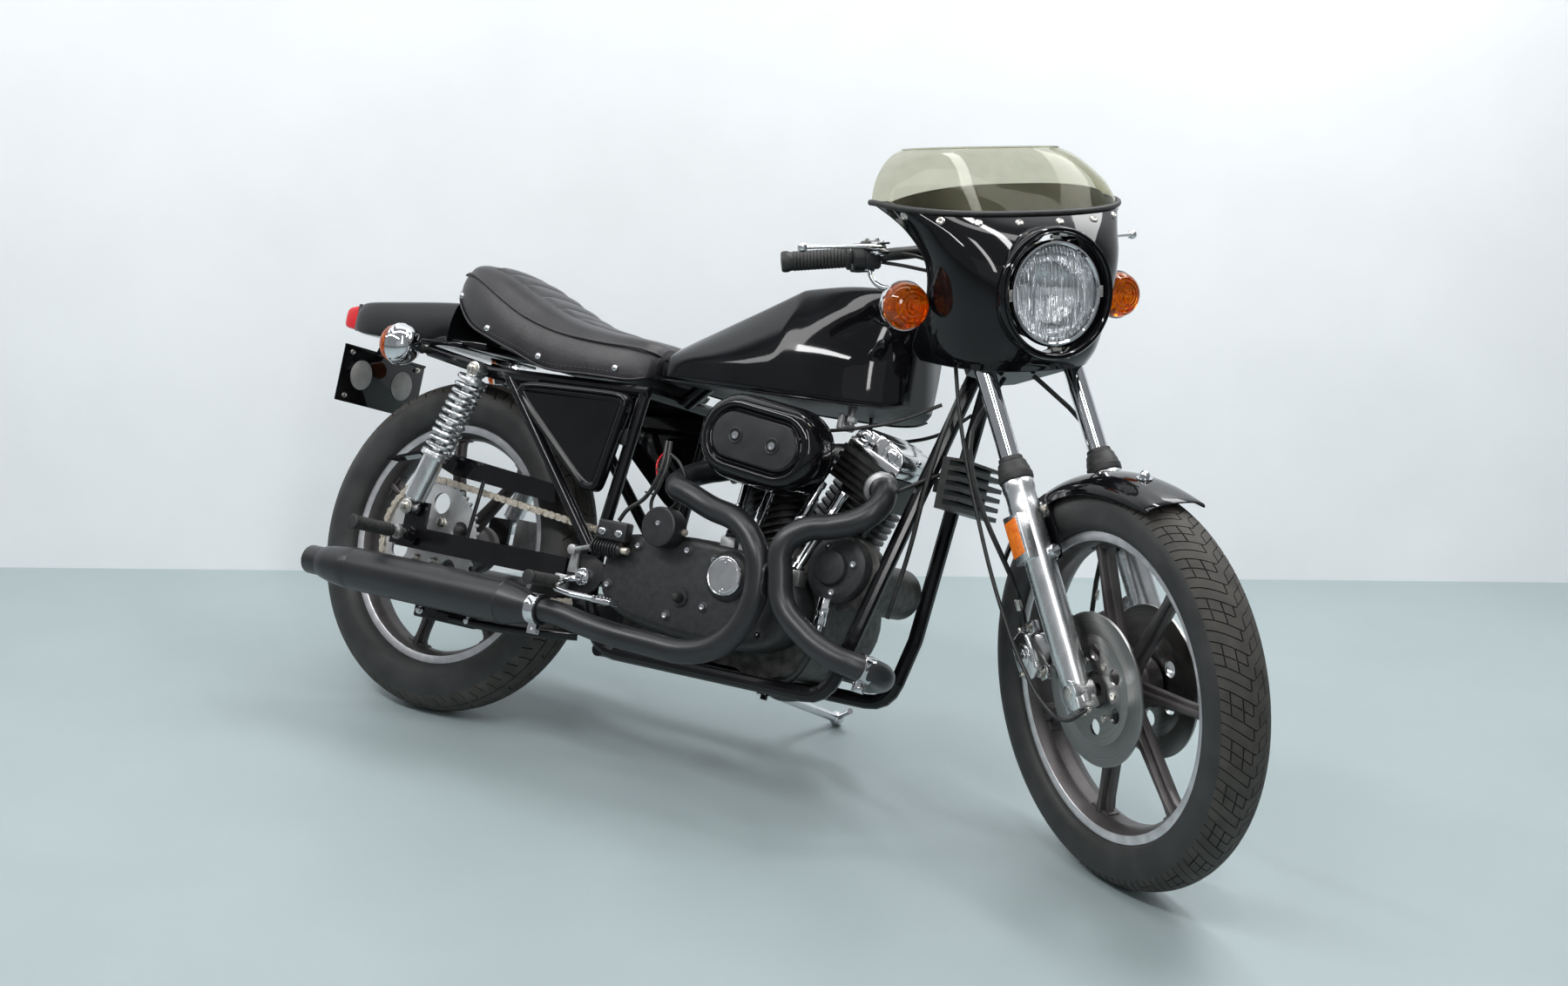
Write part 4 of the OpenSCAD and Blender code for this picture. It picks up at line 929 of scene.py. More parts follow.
def makeFrontCalipers():
    y = 0.061
    body = slab([(-0.152, 0.066), (-0.128, 0.06), (-0.108, 0.072), (-0.104, 0.1), (-0.108, 0.134),
        (-0.128, 0.146), (-0.152, 0.14), (-0.163, 0.118), (-0.163, 0.086)], y - 0.021, y + 0.0245,
        edge=0.006, segments=3)
    bridge = slab([(-0.16, 0.08), (-0.144, 0.078), (-0.144, 0.128), (-0.16, 0.126)], y - 0.024, y
        + 0.0248, edge=0.003)
    ear = slab([(-0.112, 0.05), (-0.09, 0.05), (-0.088, 0.072), (-0.108, 0.074)], y + 0.004, y + 0.018,
        edge=0.003)
    upper = slab([(-0.112, 0.13), (-0.09, 0.13), (-0.088, 0.152), (-0.108, 0.154)], y + 0.004, y + 0.018,
        edge=0.003)
    piston = rod((-0.134, y + 0.022, 0.103), (-0.134, y + 0.0285, 0.103), 0.021, sides=36, edge=0.002)
    cap = rod((-0.134, y + 0.0285, 0.103), (-0.134, y + 0.03, 0.103), 0.0135, sides=32, edge=0.0006)
    caliper = join([body, bridge, ear, upper, piston, cap], "caliper")
    finish(caliper, "frontCaliperCastings", onFork, "polished", stands="front_calipers", smooth=30,
        slot="cast_caliper", both=True)
    small = [hexHead((-0.1, y + 0.018, z), (0, 1, 0), 0.012, 0.006) for z in (0.061, 0.142)]
    small.append(rod((-0.15, y + 0.005, 0.146), (-0.15, y + 0.005, 0.156), 0.0045, sides=16, edge=0.0006))
    small.append(hexHead((-0.15, y + 0.024, 0.076), (0, 1, 0), 0.008, 0.004))
    finish(small, "caliperBolts", onFork, "zinc", smooth=28, both=True)


makeFrontCalipers()
print("fork, fender and calipers made")

# lofted bodywork

def chaikin(points, times, closed):
    # rounds a run of points by cutting each corner at its quarters
    points = [Vector(p) for p in points]
    for _ in range(times):
        count = len(points)
        cut = [] if closed else [points[0]]
        for k in range(count if closed else count - 1):
            a, b = points[k], points[(k + 1) % count]
            cut += [a * 0.75 + b * 0.25, a * 0.25 + b * 0.75]
        if not closed:
            cut.append(points[-1])
        points = cut
    return points


def loft(rings, across=2, along=2, dent=None):
    # closed skin through rings of points, rounded both ways; dent(point) may push a point about
    rings = [chaikin(r, across, True) for r in rings]
    columns = [chaikin([r[k] for r in rings], along, False) for k in range(len(rings[0]))]
    count, length = len(columns), len(columns[0])

    def at(i, j):
        point = columns[i % count][j]
        return dent(point, i / count, j / (length - 1)) if dent else point

    skin = gridSkin(count + 1, length, at, loopColumns=True)
    fillHoles(skin)
    outwards(skin)
    return skin


def halfRing(x, half):
    # mirrors a half section given as (y, z) points from below to the top
    right = [Vector((x, -y, z)) for y, z in half]
    left = [Vector((x, y, z)) for y, z in reversed(half)]
    return right + left


# tank

tank = {
    # x, half width, underside, height of the widest line, ridge height, ridge half width
    "stations": ((0.468, 0.056, 0.724, 0.738, 0.757, 0.034), (0.476, 0.088, 0.716, 0.738, 0.773, 0.046),
                 (0.51, 0.11, 0.713, 0.742, 0.794, 0.058), (0.6, 0.122, 0.713, 0.75, 0.838, 0.07),
                 (0.68, 0.132, 0.712, 0.757, 0.876, 0.08), (0.745, 0.139, 0.711, 0.764, 0.908, 0.088),
                 (0.757, 0.14, 0.711, 0.766, 0.914, 0.09), (0.77, 0.141, 0.711, 0.767, 0.917, 0.09),
                 (0.835, 0.144, 0.711, 0.776, 0.929, 0.086), (0.885, 0.137, 0.712, 0.781, 0.934, 0.077),
                 (0.93, 0.115, 0.715, 0.788, 0.935, 0.062), (0.962, 0.088, 0.72, 0.794, 0.932, 0.048),
                 (0.984, 0.06, 0.73, 0.8, 0.924, 0.036)),
    "cap": (0.7, 0, 0.884),
}


def makeTank():
    rings = []
    for x, half, low, mid, top, ridge in tank["stations"]:
        rings.append(halfRing(x, [(0.02, low + 0.004), (half * 0.9, low), (half * 0.97, low + 0.004),
            (half, mid - 0.018), (half * 0.99, mid + 0.014), (ridge + (half - ridge) * 0.6 + 0.004, mid
            + (top - mid) * 0.5 + 0.003), (ridge + (half - ridge) * 0.2, top - (top - mid) * 0.14),
            (ridge, top - 0.005), (ridge * 0.84, top), (0.018, top + 0.003)]))
    skin = finish(loft(rings, 3, 2), "tankSkin", onBike, "glossBlack", stands="fuel_tank", smooth=40,
        slot="gloss_black")
    skin.data.materials.append(finishes["rubber"])      # the underside is left dull
    down = bike.to_3x3() @ Vector((0, 0, -1))
    for face in skin.data.polygons:
        face.material_index = 1 if face.normal.dot(down) > 0.72 else 0
    seam = []
    for x, half, low, mid, top, ridge in tank["stations"][1:-1]:
        seam.append((x, half * 0.955, low + 0.001))
    lip = tube(smoothPath(seam, 4), 0.0022, sides=8, straight=True)
    finish(lip, "tankFlange", onBike, "frameBlack", smooth=40, both=True)
    out = Vector((-0.42, 0, 0.91))
    cap = turned([(0, 0), (0.033, 0), (0.033, 0.003), (0.03, 0.0035), (0.03, 0.012), (0.0275, 0.0145),
        (0.018, 0.0165), (0, 0.017)], Vector(tank["cap"]) - out * 0.012, out, 48)
    finish(cap, "tankCap", onBike, "glossBlack", smooth=35)


makeTank()


# seat

seat = {
    # x, half width, underside, shoulder height, top height
    "stations": ((-0.05, 0.08, 0.845, 0.866, 0.884), (-0.04, 0.1, 0.822, 0.87, 0.897),
                 (-0.015, 0.114, 0.795, 0.872, 0.904), (0.03, 0.128, 0.762, 0.856, 0.901),
                 (0.09, 0.138, 0.742, 0.828, 0.882), (0.16, 0.143, 0.722, 0.798, 0.851),
                 (0.25, 0.144, 0.6965, 0.775, 0.815), (0.35, 0.142, 0.6975, 0.766, 0.797),
                 (0.43, 0.131, 0.6985, 0.765, 0.793), (0.46, 0.112, 0.708, 0.762, 0.788),
                 (0.47, 0.092, 0.722, 0.758, 0.78)),
    "seams": (0.058, 0.104, 0.15, 0.198, 0.246, 0.296), "panelHalf": 0.082, "panelRound": 0.03,
    "snaps": ((-0.03, 0.826), (0.078, 0.764), (0.225, 0.722), (0.405, 0.72)),
}


def seatAt(x, column):
    rows = seat["stations"]
    for a, b in zip(rows, rows[1:]):
        if a[0] <= x <= b[0]:
            t = (x - a[0]) / (b[0] - a[0])
            return a[column] + (b[column] - a[column]) * t
    return rows[-1][column] if x > 0 else rows[0][column]


def makeSeat():
    def pressed(point, around, share):
        x, y, z = point
        top = seatAt(x, 4)
        above = (z - seatAt(x, 3)) / max(top - seatAt(x, 3), 0.001)
        if above < 0.25:
            return point
        edge = seat["panelHalf"] - 0.018 * min(1, max(0, (x - 0.2) / 0.2))
        inside = (edge - abs(y)) / 0.008
        depth = 0.0
        if 0.03 < x < 0.345:
            if inside > 0:
                for seam in seat["seams"]:
                    depth += 0.0065 * math.exp(-((x - seam) / 0.0042) ** 2) * min(1, inside)
                span = min(range(len(seat["seams"])), key=lambda k: abs(x - seat["seams"][k]))
                gap = abs(x - seat["seams"][span])
                depth -= 0.0034 * min(1, gap / 0.018) * min(1, inside / 2)
            depth += 0.0045 * math.exp(-((abs(y) - edge) / 0.0035) ** 2)
        return Vector((x, y, z - depth))

    rings = []
    for x, half, low, shoulder, top in seat["stations"]:
        rings.append(halfRing(x, [(half * 0.3, low + 0.002), (half * 0.92, low + 0.001), (half * 0.975,
            low), (half * 0.985, low + (shoulder - low) * 0.5), (half * 0.93, shoulder - 0.006), (half
            * 0.86, shoulder + 0.004), (half * 0.74, shoulder + (top - shoulder) * 0.8), (half * 0.4, top
            - 0.002), (half * 0.12, top)]))
    pad = loft(rings, 3, 4, dent=pressed)
    finish(pad, "seatPad", onBike, "leather", stands="seat", smooth=60, slot="seat_leather")
    route = []
    for x, half, low, shoulder, top in seat["stations"][1:]:
        route.append((x, half * 0.912, shoulder + 0.0005))
    piping = tube(smoothPath(route, 5), 0.0026, sides=8, straight=True)
    hem, threads, snaps = [], [], []
    for x, half, low, shoulder, top in seat["stations"][1:-1]:
        hem.append((x, half * 0.985, low + 0.004))
    hemPath = smoothPath(hem, 5)
    hemTube = tube(hemPath, 0.0024, sides=8, straight=True)
    trim = join([bothSides(piping, "piping"), bothSides(hemTube, "hemTube")], "trim")
    finish(trim, "seatPiping", onBike, "leather", smooth=50, slot="seat_leather")
    run = smoothPath([(x, y + 0.0012, z + 0.011) for x, y, z in hem], 18)
    for k in range(0, len(run) - 1, 2):
        start, end = run[k], run[k] + (run[k + 1] - run[k]) * 0.9
        threads.append(rod(start, end, 0.00055, sides=5))
    finish(threads, "seatStitches", onBike, "thread", smooth=0, both=True)
    for x, z in seat["snaps"]:
        half = seatAt(x, 1) * 0.985
        snaps.append(turned([(0, -0.002), (0.0068, -0.002), (0.0068, 0.001), (0.0055, 0.0026),
            (0.003, 0.0036), (0, 0.004)], (x, half, z), (0, 1, 0), 20))
    finish(snaps, "seatSnaps", onBike, "chrome", smooth=45, both=True)


makeSeat()
print("tank and seat made")

# tail

tail = {
    # x, half width, underside, top
    "stations": ((-0.357, 0.05, 0.74, 0.792), (-0.35, 0.058, 0.736, 0.798), (-0.32, 0.068, 0.727, 0.803),
                 (-0.22, 0.086, 0.724, 0.809), (-0.1, 0.108, 0.722, 0.816), (-0.036, 0.117, 0.722, 0.818)),
    "lampX": (-0.402, -0.357),
}


def makeTail():
    rings = []
    for x, half, low, top in tail["stations"]:
        mid = low + (top - low) * 0.52
        rings.append(halfRing(x, [(half * 0.5, low), (half * 0.95, low), (half * 1.0, low + 0.006), (half
            * 0.985, mid), (half * 0.9, top - 0.014), (half * 0.8, top - 0.003), (half * 0.35, top)]))
    shell = loft(rings, 3, 2)
    under = slab([(-0.03, -0.11), (0.058, -0.103), (0.058, 0.103), (-0.03, 0.11)], 0.724, 0.738, axis="Z",
        edge=0.003)
    ledge = slab([(-0.2, -0.098), (-0.03, -0.121), (0.01, -0.12), (0.01, 0.12), (-0.03, 0.121),
        (-0.2, 0.098)], 0.722, 0.731, axis="Z", edge=0.003)
    finish([shell, under, ledge], "tailSkin", onBike, "glossBlack", stands="tail_section", smooth=40,
        slot="gloss_black")
    near, far = tail["lampX"]
    lens = loft([halfRing(x, [(0.02, low), (half * 0.9, low), (half, low + 0.006), (half, high - 0.008),
        (half * 0.86, high), (0.02, high + 0.001)]) for x, half, low, high in ((near, 0.034, 0.746, 0.78),
        (near + 0.004, 0.038, 0.741, 0.785), (near + 0.03, 0.043, 0.738, 0.79),
        (far, 0.045, 0.738, 0.79))], 2, 2)
    finish(lens, "tailLens", onBike, "redLens", stands="tail_lamp", smooth=45, slot="red_lens")
    base = block((far - 0.003, -0.048, 0.735), (far + 0.004, 0.048, 0.793), 0.003)
    finish(base, "tailLampBase", onBike, "satinBlack", smooth=30)


makeTail()


def makePlate():
    plate = block((-0.3015, -0.122, 0.58), (-0.299, 0.122, 0.698), 0.001)
    rim = block((-0.302, -0.122, 0.693), (-0.296, 0.122, 0.698), 0.0008)
    stem = slab([(-0.303, 0.69), (-0.289, 0.7255), (-0.284, 0.7255), (-0.296, 0.69)], -0.03, 0.03,
        edge=0.0008)
    finish([plate, rim, stem], "numberPlateBlank", onBike, "glossBlack", stands="number_plate", smooth=30,
        slot="gloss_black")
    spots = [rod((-0.299, side * 0.062, 0.642), (-0.2975, side * 0.062, 0.642), 0.031, sides=48,
        edge=0.0004) for side in (-1, 1)]
    finish(spots, "plateDiscs", onBike, "plateGrey", smooth=30)
    studs = [hexHead((-0.299, side * 0.1, z), (1, 0, 0), 0.008, 0.004) for side in (-1, 1)
        for z in (0.593, 0.684)]
    finish(studs, "plateBolts", onBike, "zinc", smooth=30)


makePlate()


# turn signals

signalShape = {
    "cup": ((0, 0.0), (0.012, 0.0005), (0.026, 0.007), (0.036, 0.018), (0.0405, 0.03), (0.0415, 0.038),
        (0.0425, 0.039),
            (0.0425, 0.0435), (0.0, 0.0435)),
    "lens": ((0, 0.0435), (0.0405, 0.0435), (0.0395, 0.052), (0.0375, 0.059), (0.0345, 0.0645),
        (0.03, 0.068),
             (0.0285, 0.065), (0.027, 0.0692), (0.0225, 0.0712), (0.021, 0.068), (0.0195, 0.072),
             (0.015, 0.0732), (0.0135, 0.07), (0.012, 0.0736), (0.0075, 0.0741), (0.006, 0.0708),
             (0.0045, 0.0743), (0, 0.0745)),
}


def makeSignals(name, where, node, spot, out, stalkStart, stalkEnd):
    cup = turned(signalShape["cup"], spot, out, 48)
    finish(cup, name + "Cups", where, "chrome", stands=node, smooth=40, slot="amber_lens", both=True)
    lens = turned(signalShape["lens"], spot, out, 48)
    finish(lens, name + "Lenses", where, "amber", smooth=30, slot="amber_lens", both=True)
    stalk = rod(stalkStart, stalkEnd, 0.007, sides=20)
    nut = rod(Vector(stalkStart), Vector(stalkStart) + (Vector(stalkEnd) - Vector(stalkStart)) * 0.35,
        0.0095, sides=20, edge=0.001)
    finish([stalk, nut], name + "Stalks", where, "rubber", smooth=35, both=True)


makeSignals("frontSignal", onSteering, "front_signals", (1.12, 0.215, 0.946), (1, 0, 0),
    (1.135, 0.18, 0.946), (1.12, 0.122, 0.946))
makeSignals("rearSignal", onBike, "rear_signals", (-0.066, 0.168, 0.706), (-1, 0, 0),
    (-0.08, 0.14, 0.706), (-0.08, 0.112, 0.707))
print("tail and signals made")

# fairing and screen

wrap = {
    # height at the front, height at the side, front x, half width, rear x
    "fairing": ((0.832, 0.846, 1.26, 0.145, 1.088), (0.858, 0.868, 1.282, 0.155, 1.08),
        (0.905, 0.905, 1.296, 0.161, 1.11),
                (0.96, 0.96, 1.304, 0.167, 1.152), (1.015, 1.02, 1.298, 0.178, 1.165),
                    (1.06, 1.075, 1.268, 0.2, 1.132),
                (1.094, 1.118, 1.226, 0.234, 1.086)),
    "screen": ((1.0943, 1.1183, 1.2255, 0.2335, 1.086), (1.13, 1.15, 1.2, 0.222, 1.078),
        (1.168, 1.176, 1.168, 0.2, 1.064),
               (1.192, 1.195, 1.144, 0.176, 1.054), (1.206, 1.205, 1.126, 0.152, 1.05)),
    "lamp": (1.292, 0.0, 0.962), "holeRadius": 0.101,
}


def wrapPoint(station, degrees, inset=0.0):
    front, side, nose, half, rear = station
    a = math.radians(degrees)
    c = max(math.cos(a), 0.0)
    w = abs(math.sin(a)) ** 0.75 * math.copysign(1, a)
    return Vector((rear + (nose - inset - rear) * c ** 0.72, (half - inset) * w, side + (front - side) * c))


def wrapRows(stations, steps):
    # the stations as vectors, with smooth ones between them
    low = [Vector(s[:3]) for s in stations]
    high = [Vector((s[3], s[4], 0)) for s in stations]
    return [(a.x, a.y, a.z, b.x, b.y) for a, b in zip(smoothPath(low, steps), smoothPath(high, steps))]


def wrapAngle(i, columns):
    # closer columns near the rear edges, where the skin turns fastest
    t = 2 * i / (columns - 1) - 1
    return 90 * math.sin(t * math.pi / 2) * 0.35 + 90 * t * 0.65


def makeFairing():
    rows, columns = wrapRows(wrap["fairing"], 6), 81
    skin = gridSkin(columns, len(rows), lambda i, j: wrapPoint(rows[j], wrapAngle(i, columns)))
    outwards(skin)
    modifier(skin, "SOLIDIFY", thickness=0.003, offset=-1)
    x, y, z = wrap["lamp"]
    cutter = rod((x - 0.08, 0, z), (x + 0.12, 0, z), wrap["holeRadius"], sides=64)
    modifier(skin, "BOOLEAN", object=cutter, operation="DIFFERENCE", solver="EXACT")
    bpy.data.objects.remove(cutter)
    finish(skin, "fairingSkin", onSteering, "glossBlack", stands="fairing", smooth=32, slot="gloss_black")
    edges = []
    for side in (-1, 1):
        def fold(i, j):
            edge = wrapPoint(rows[j], 90 * side)
            return edge + Vector((0.006 * i / 3 + (0.004 if i == 0 else 0), -side * 0.03 * i / 3, 0))

        strip = gridSkin(4, len(rows), fold)
        modifier(strip, "SOLIDIFY", thickness=0.0035, offset=0)
        edges.append(strip)
    bottom = gridSkin(columns, 4, lambda i, j: wrapPoint(rows[0], wrapAngle(i, columns), 0.001 + 0.022 * j
        / 3) + Vector((0, 0, 0.004 * j / 3)))
    modifier(bottom, "SOLIDIFY", thickness=0.003, offset=0)
    whole = join(edges + [bottom], "returns")
    outwards(whole)
    finish(whole, "fairingReturns", onSteering, "satinBlack", smooth=40)
    bezel = turned([(0.0995, -0.05), (0.0995, 0.006), (0.1005, 0.009), (0.1025, 0.0105), (0.1045, 0.009),
        (0.1052, 0.0065), (0.1065, 0.009), (0.1085, 0.0095), (0.1105, 0.007), (0.1115, 0.000),
        (0.1115, -0.03), (0.1045, -0.05), (0.0995, -0.05)], (x, 0, z), (1, 0, 0), 96)
    finish(bezel, "lampBezel", onSteering, "glossBlack", smooth=40)


makeFairing()


def makeScreen():
    rows, columns = wrapRows(wrap["screen"], 5), 73
    sheet = gridSkin(columns, len(rows), lambda i, j: wrapPoint(rows[j], wrapAngle(i, columns)))
    outwards(sheet)
    modifier(sheet, "SOLIDIFY", thickness=0.0028, offset=-1)
    finish(sheet, "screenSheet", onSteering, "smoke", stands="windscreen", smooth=50, slot="smoked_screen")
    joint = wrap["fairing"][-1]
    line = [wrapPoint(joint, wrapAngle(i, 61), -0.0015) for i in range(61)]
    strip = tube(line, 0.0052, sides=10, straight=True)
    top = [wrapPoint(rows[-1], wrapAngle(i, 61), 0.001) for i in range(61)]
    finish(strip, "screenTrim", onSteering, "rubber", smooth=50, slot="control_rubber")
    finish(tube(top, 0.0021, sides=8, straight=True), "screenRim", onSteering, "smoke", smooth=50)
    screws = []
    below, lower, above = wrapRows(wrap["fairing"], 6)[-5:-2]
    for angle in (-74, -47, -25, -6, 6, 25, 47, 74):
        spot = wrapPoint(lower, angle, -0.001)
        ahead = wrapPoint(lower, angle + 2) - wrapPoint(lower, angle - 2)
        out = ahead.cross(wrapPoint(above, angle) - wrapPoint(below, angle)).normalized()
        screws.append(turned([(0.0026, 0.002), (0.003, 0.0028), (0.0056, 0.0024), (0.0075, 0.0006),
            (0.0078, -0.003), (0.0026, -0.003), (0.0026, 0.002)], spot, out, 24))
        screws.append(rod(spot - out * 0.002, spot + out * 0.0012, 0.0026, sides=6))
    finish(screws, "screenScrews", onSteering, "zinc", smooth=35)

    def lining(i, j):
        degrees = wrapAngle(i, 49)
        rise = 0.056 * max(0, math.cos(math.radians(degrees * 0.98))) ** 1.1 * j / 10
        point = wrapPoint(joint, degrees, 0.016)
        return point + Vector((-rise * 0.75, 0, rise - 0.006))

    liner = gridSkin(49, 11, lining)
    modifier(liner, "SOLIDIFY", thickness=0.003, offset=-1)
    outwards(liner)
    finish(liner, "screenLiner", onSteering, "satinBlack", smooth=50)


makeScreen()


# headlamp

def makeHeadlamp():
    x, y, z = wrap["lamp"]
    bucket = turned([(0, -0.118), (0.05, -0.112), (0.074, -0.078), (0.083, -0.026), (0.086, -0.014),
        (0.086, -0.006), (0.0835, -0.006), (0.0795, -0.02), (0.07, -0.05), (0.045, -0.074),
        (0.012, -0.082), (0, -0.082)], (x, 0, z), (1, 0, 0), 72)
    finish(bucket, "headlampBucket", onSteering, "satinBlack", stands="headlamp", smooth=40,
        slot="gloss_black")
    bowl = turned([(0.0805, -0.01), (0.076, -0.024), (0.066, -0.046), (0.045, -0.064), (0.012, -0.074),
        (0.0, -0.074), (0.0, -0.0755), (0.045, -0.0655), (0.067, -0.0475), (0.0775, -0.024),
        (0.0815, -0.01), (0.0805, -0.01)], (x, 0, z), (1, 0, 0), 72)
    hoop = turned([(0.08, -0.008), (0.0875, -0.01), (0.0895, -0.004), (0.089, 0.001), (0.0865, 0.0045),
        (0.0835, 0.005), (0.0808, 0.0025), (0.08, -0.008)], (x, 0, z), (1, 0, 0), 96)
    shield = turned([(0, -0.03), (0.01, -0.032), (0.013, -0.038), (0.013, -0.06), (0, -0.062)], (x, 0, z),
        (1, 0, 0), 24)
    finish([bowl, hoop, shield], "headlampReflector", onSteering, "chrome", smooth=40, slot="chrome")
    lens = turned([(0, -0.001), (0.04, -0.002), (0.07, -0.004), (0.0798, -0.006), (0.0802, -0.001),
        (0.076, 0.002), (0.06, 0.0068), (0.035, 0.01), (0.0, 0.0116)], (x, 0, z), (1, 0, 0), 72)
    flutes = []
    for k in range(-18, 19):
        across = k * 0.0042
        reach = math.sqrt(max(0.0782 ** 2 - across ** 2, 0))
        if reach > 0.012:
            cut = 0.35 if k % 2 else 1.0
            flutes.append(rod((x - 0.007, across, z - reach), (x - 0.007, across, z + reach * cut),
                0.0017, sides=8))
    finish([lens] + flutes, "headlampLens", onSteering, "clearLens", smooth=35, slot="clear_lens")
    tabs = [block((x - 0.004, side * 0.0905 - 0.003, z + up - 0.01), (x + 0.004, side * 0.0905 + 0.003, z
        + up + 0.01), 0.001) for side, up in ((-1, 0.0), (1, 0.0))]
    tabs += [block((x - 0.005, -0.008, z + up - 0.003), (x + 0.003, 0.01, z + up + 0.003), 0.001)
        for up in (-0.0935, 0.0935)]
    finish(tabs, "headlampTabs", onSteering, "zinc", smooth=30)


makeHeadlamp()
print("fairing, screen and headlamp made")


# handlebar and controls

controls = {
    "barEnd": (0.963, 0.345, 1.019), "gripInner": (1.008, 0.235, 1.0235),
        "switchInner": (1.03, 0.18, 1.0265),
    "bar": ((0.965, 0.34, 1.0192), (1.012, 0.225, 1.024), (1.048, 0.13, 1.03), (1.058, 0.0, 1.038),
            (1.048, -0.13, 1.03), (1.012, -0.225, 1.024), (0.965, -0.34, 1.0192)),
}


def makeHandlebar():
    bar = tube(smoothPath(controls["bar"], 8), 0.011, sides=16, straight=True)
    finish(bar, "barTube", onSteering, "satinBlack", stands="handlebar", smooth=45, slot="control_rubber")
    start, end = Vector(controls["gripInner"]), Vector(controls["barEnd"])
    length = (end - start).length
    profile = [(0.0112, 0), (0.02, 0), (0.021, 0.002), (0.021, 0.006), (0.0165, 0.009)]
    steps = 15
    for k in range(steps):
        here = 0.011 + (length - 0.03) * k / steps
        wide = (length - 0.03) / steps
        profile += [(0.0165, here), (0.0172, here + wide * 0.2), (0.0172, here + wide * 0.75), (0.016,
            here + wide * 0.85)]
    profile += [(0.017, length - 0.014), (0.0185, length - 0.011), (0.0185, length - 0.004),
        (0.0165, length), (0.006, length + 0.001), (0, length - 0.001), (0, 0), (0.0112, 0)]
    grip = turned(profile[:-2] + [(0.0, 0.0)], start, end - start, 32)
    finish(grip, "grips", onSteering, "rubber", smooth=28, slot="control_rubber", both=True)
    outer, inner = Vector(controls["gripInner"]), Vector(controls["switchInner"])
    way = (inner - outer).normalized()
    housing = turned([(0.0, 0.0), (0.0205, 0.0), (0.0235, 0.003), (0.0235, 0.02), (0.0228, 0.0208),
        (0.0228, 0.0222), (0.0235, 0.023), (0.0235, 0.044), (0.021, 0.048), (0.0, 0.048)], outer + way
        * 0.004, way, 36)
    lump = block((0.985, 0.188, 0.997), (1.016, 0.226, 1.018), 0.005, 3)
    lump2 = block((1.018, 0.186, 1.036), (1.048, 0.222, 1.052), 0.005, 3)
    finish([housing, lump, lump2], "switchHousings", onSteering, "satinBlack", smooth=32, both=True)
    buttons = [rod((0.99, 0.2 + 0.014 * k, 1.008), (0.983, 0.2 + 0.014 * k, 1.008), 0.0042, sides=16,
        edge=0.0008) for k in (0, 1)]
    buttons.append(hexHead((1.033, 0.194, 1.052), (0, 0, 1), 0.006, 0.003))
    buttons.append(hexHead((1.033, 0.214, 1.052), (0, 0, 1), 0.006, 0.003))
    finish(buttons, "switchButtons", onSteering, "zinc", smooth=30, both=True)
    blade = loft([[Vector((x, y, z)) + Vector((depth * math.cos(a), 0, high * math.sin(a)))
        for a in ring(10)] for x, y, z, depth, high in ((1.06, 0.196, 1.041, 0.009, 0.006),
        (1.066, 0.215, 1.042, 0.011, 0.006), (1.066, 0.24, 1.044, 0.01, 0.0045),
        (1.056, 0.28, 1.045, 0.0085, 0.0038), (1.044, 0.315, 1.046, 0.007, 0.004),
        (1.037, 0.336, 1.046, 0.0055, 0.0045))], 1, 2)
    clearSelection()
    bpy.ops.mesh.primitive_uv_sphere_add(segments=24, ring_count=14, radius=0.009,
        location=(1.035, 0.34, 1.046))
    ball = bpy.context.object
    bpy.ops.object.transform_apply(location=True)
    perch = block((1.046, 0.19, 1.028), (1.072, 0.217, 1.0355), 0.003)
    perch2 = block((1.046, 0.19, 1.0462), (1.072, 0.217, 1.0505), 0.0018)
    pin = rod((1.06, 0.2, 1.026), (1.06, 0.2, 1.0525), 0.0045, sides=18, edge=0.001)
    finish([blade, ball, perch, perch2, pin], "leverBlades", onSteering, "polished", stands="levers",
        smooth=40, slot="chrome", both=True)
    line = tube([(1.02, -0.205, 1.012), (1.026, -0.204, 0.992), (1.04, -0.198, 0.976),
        (1.062, -0.182, 0.97), (1.092, -0.15, 0.97)], 0.0048, sides=12, smoothness=8)
    collar = rod((1.02, -0.205, 1.000), (1.02, -0.205, 1.016), 0.0085, sides=6, edge=0.001)
    finish([line, collar], "brakePipe", onSteering, "chrome", smooth=45)
    cables = [[(1.026, -0.182, 1.014), (1.06, -0.14, 1.004), (1.092, -0.086, 0.985),
        (1.102, -0.045, 0.955)], [(1.03, -0.178, 1.034), (1.072, -0.128, 1.02), (1.108, -0.07, 0.985),
        (1.112, -0.03, 0.95)], [(1.06, 0.192, 1.04), (1.088, 0.132, 1.02), (1.108, 0.074, 0.985),
        (1.11, 0.03, 0.95)], [(1.026, 0.182, 1.014), (1.06, 0.14, 1.000), (1.094, 0.086, 0.975),
        (1.104, 0.045, 0.95)]]
    finish([tube(c, 0.0032, sides=8) for c in cables], "controlCables", onSteering, "hose", smooth=50)


makeHandlebar()


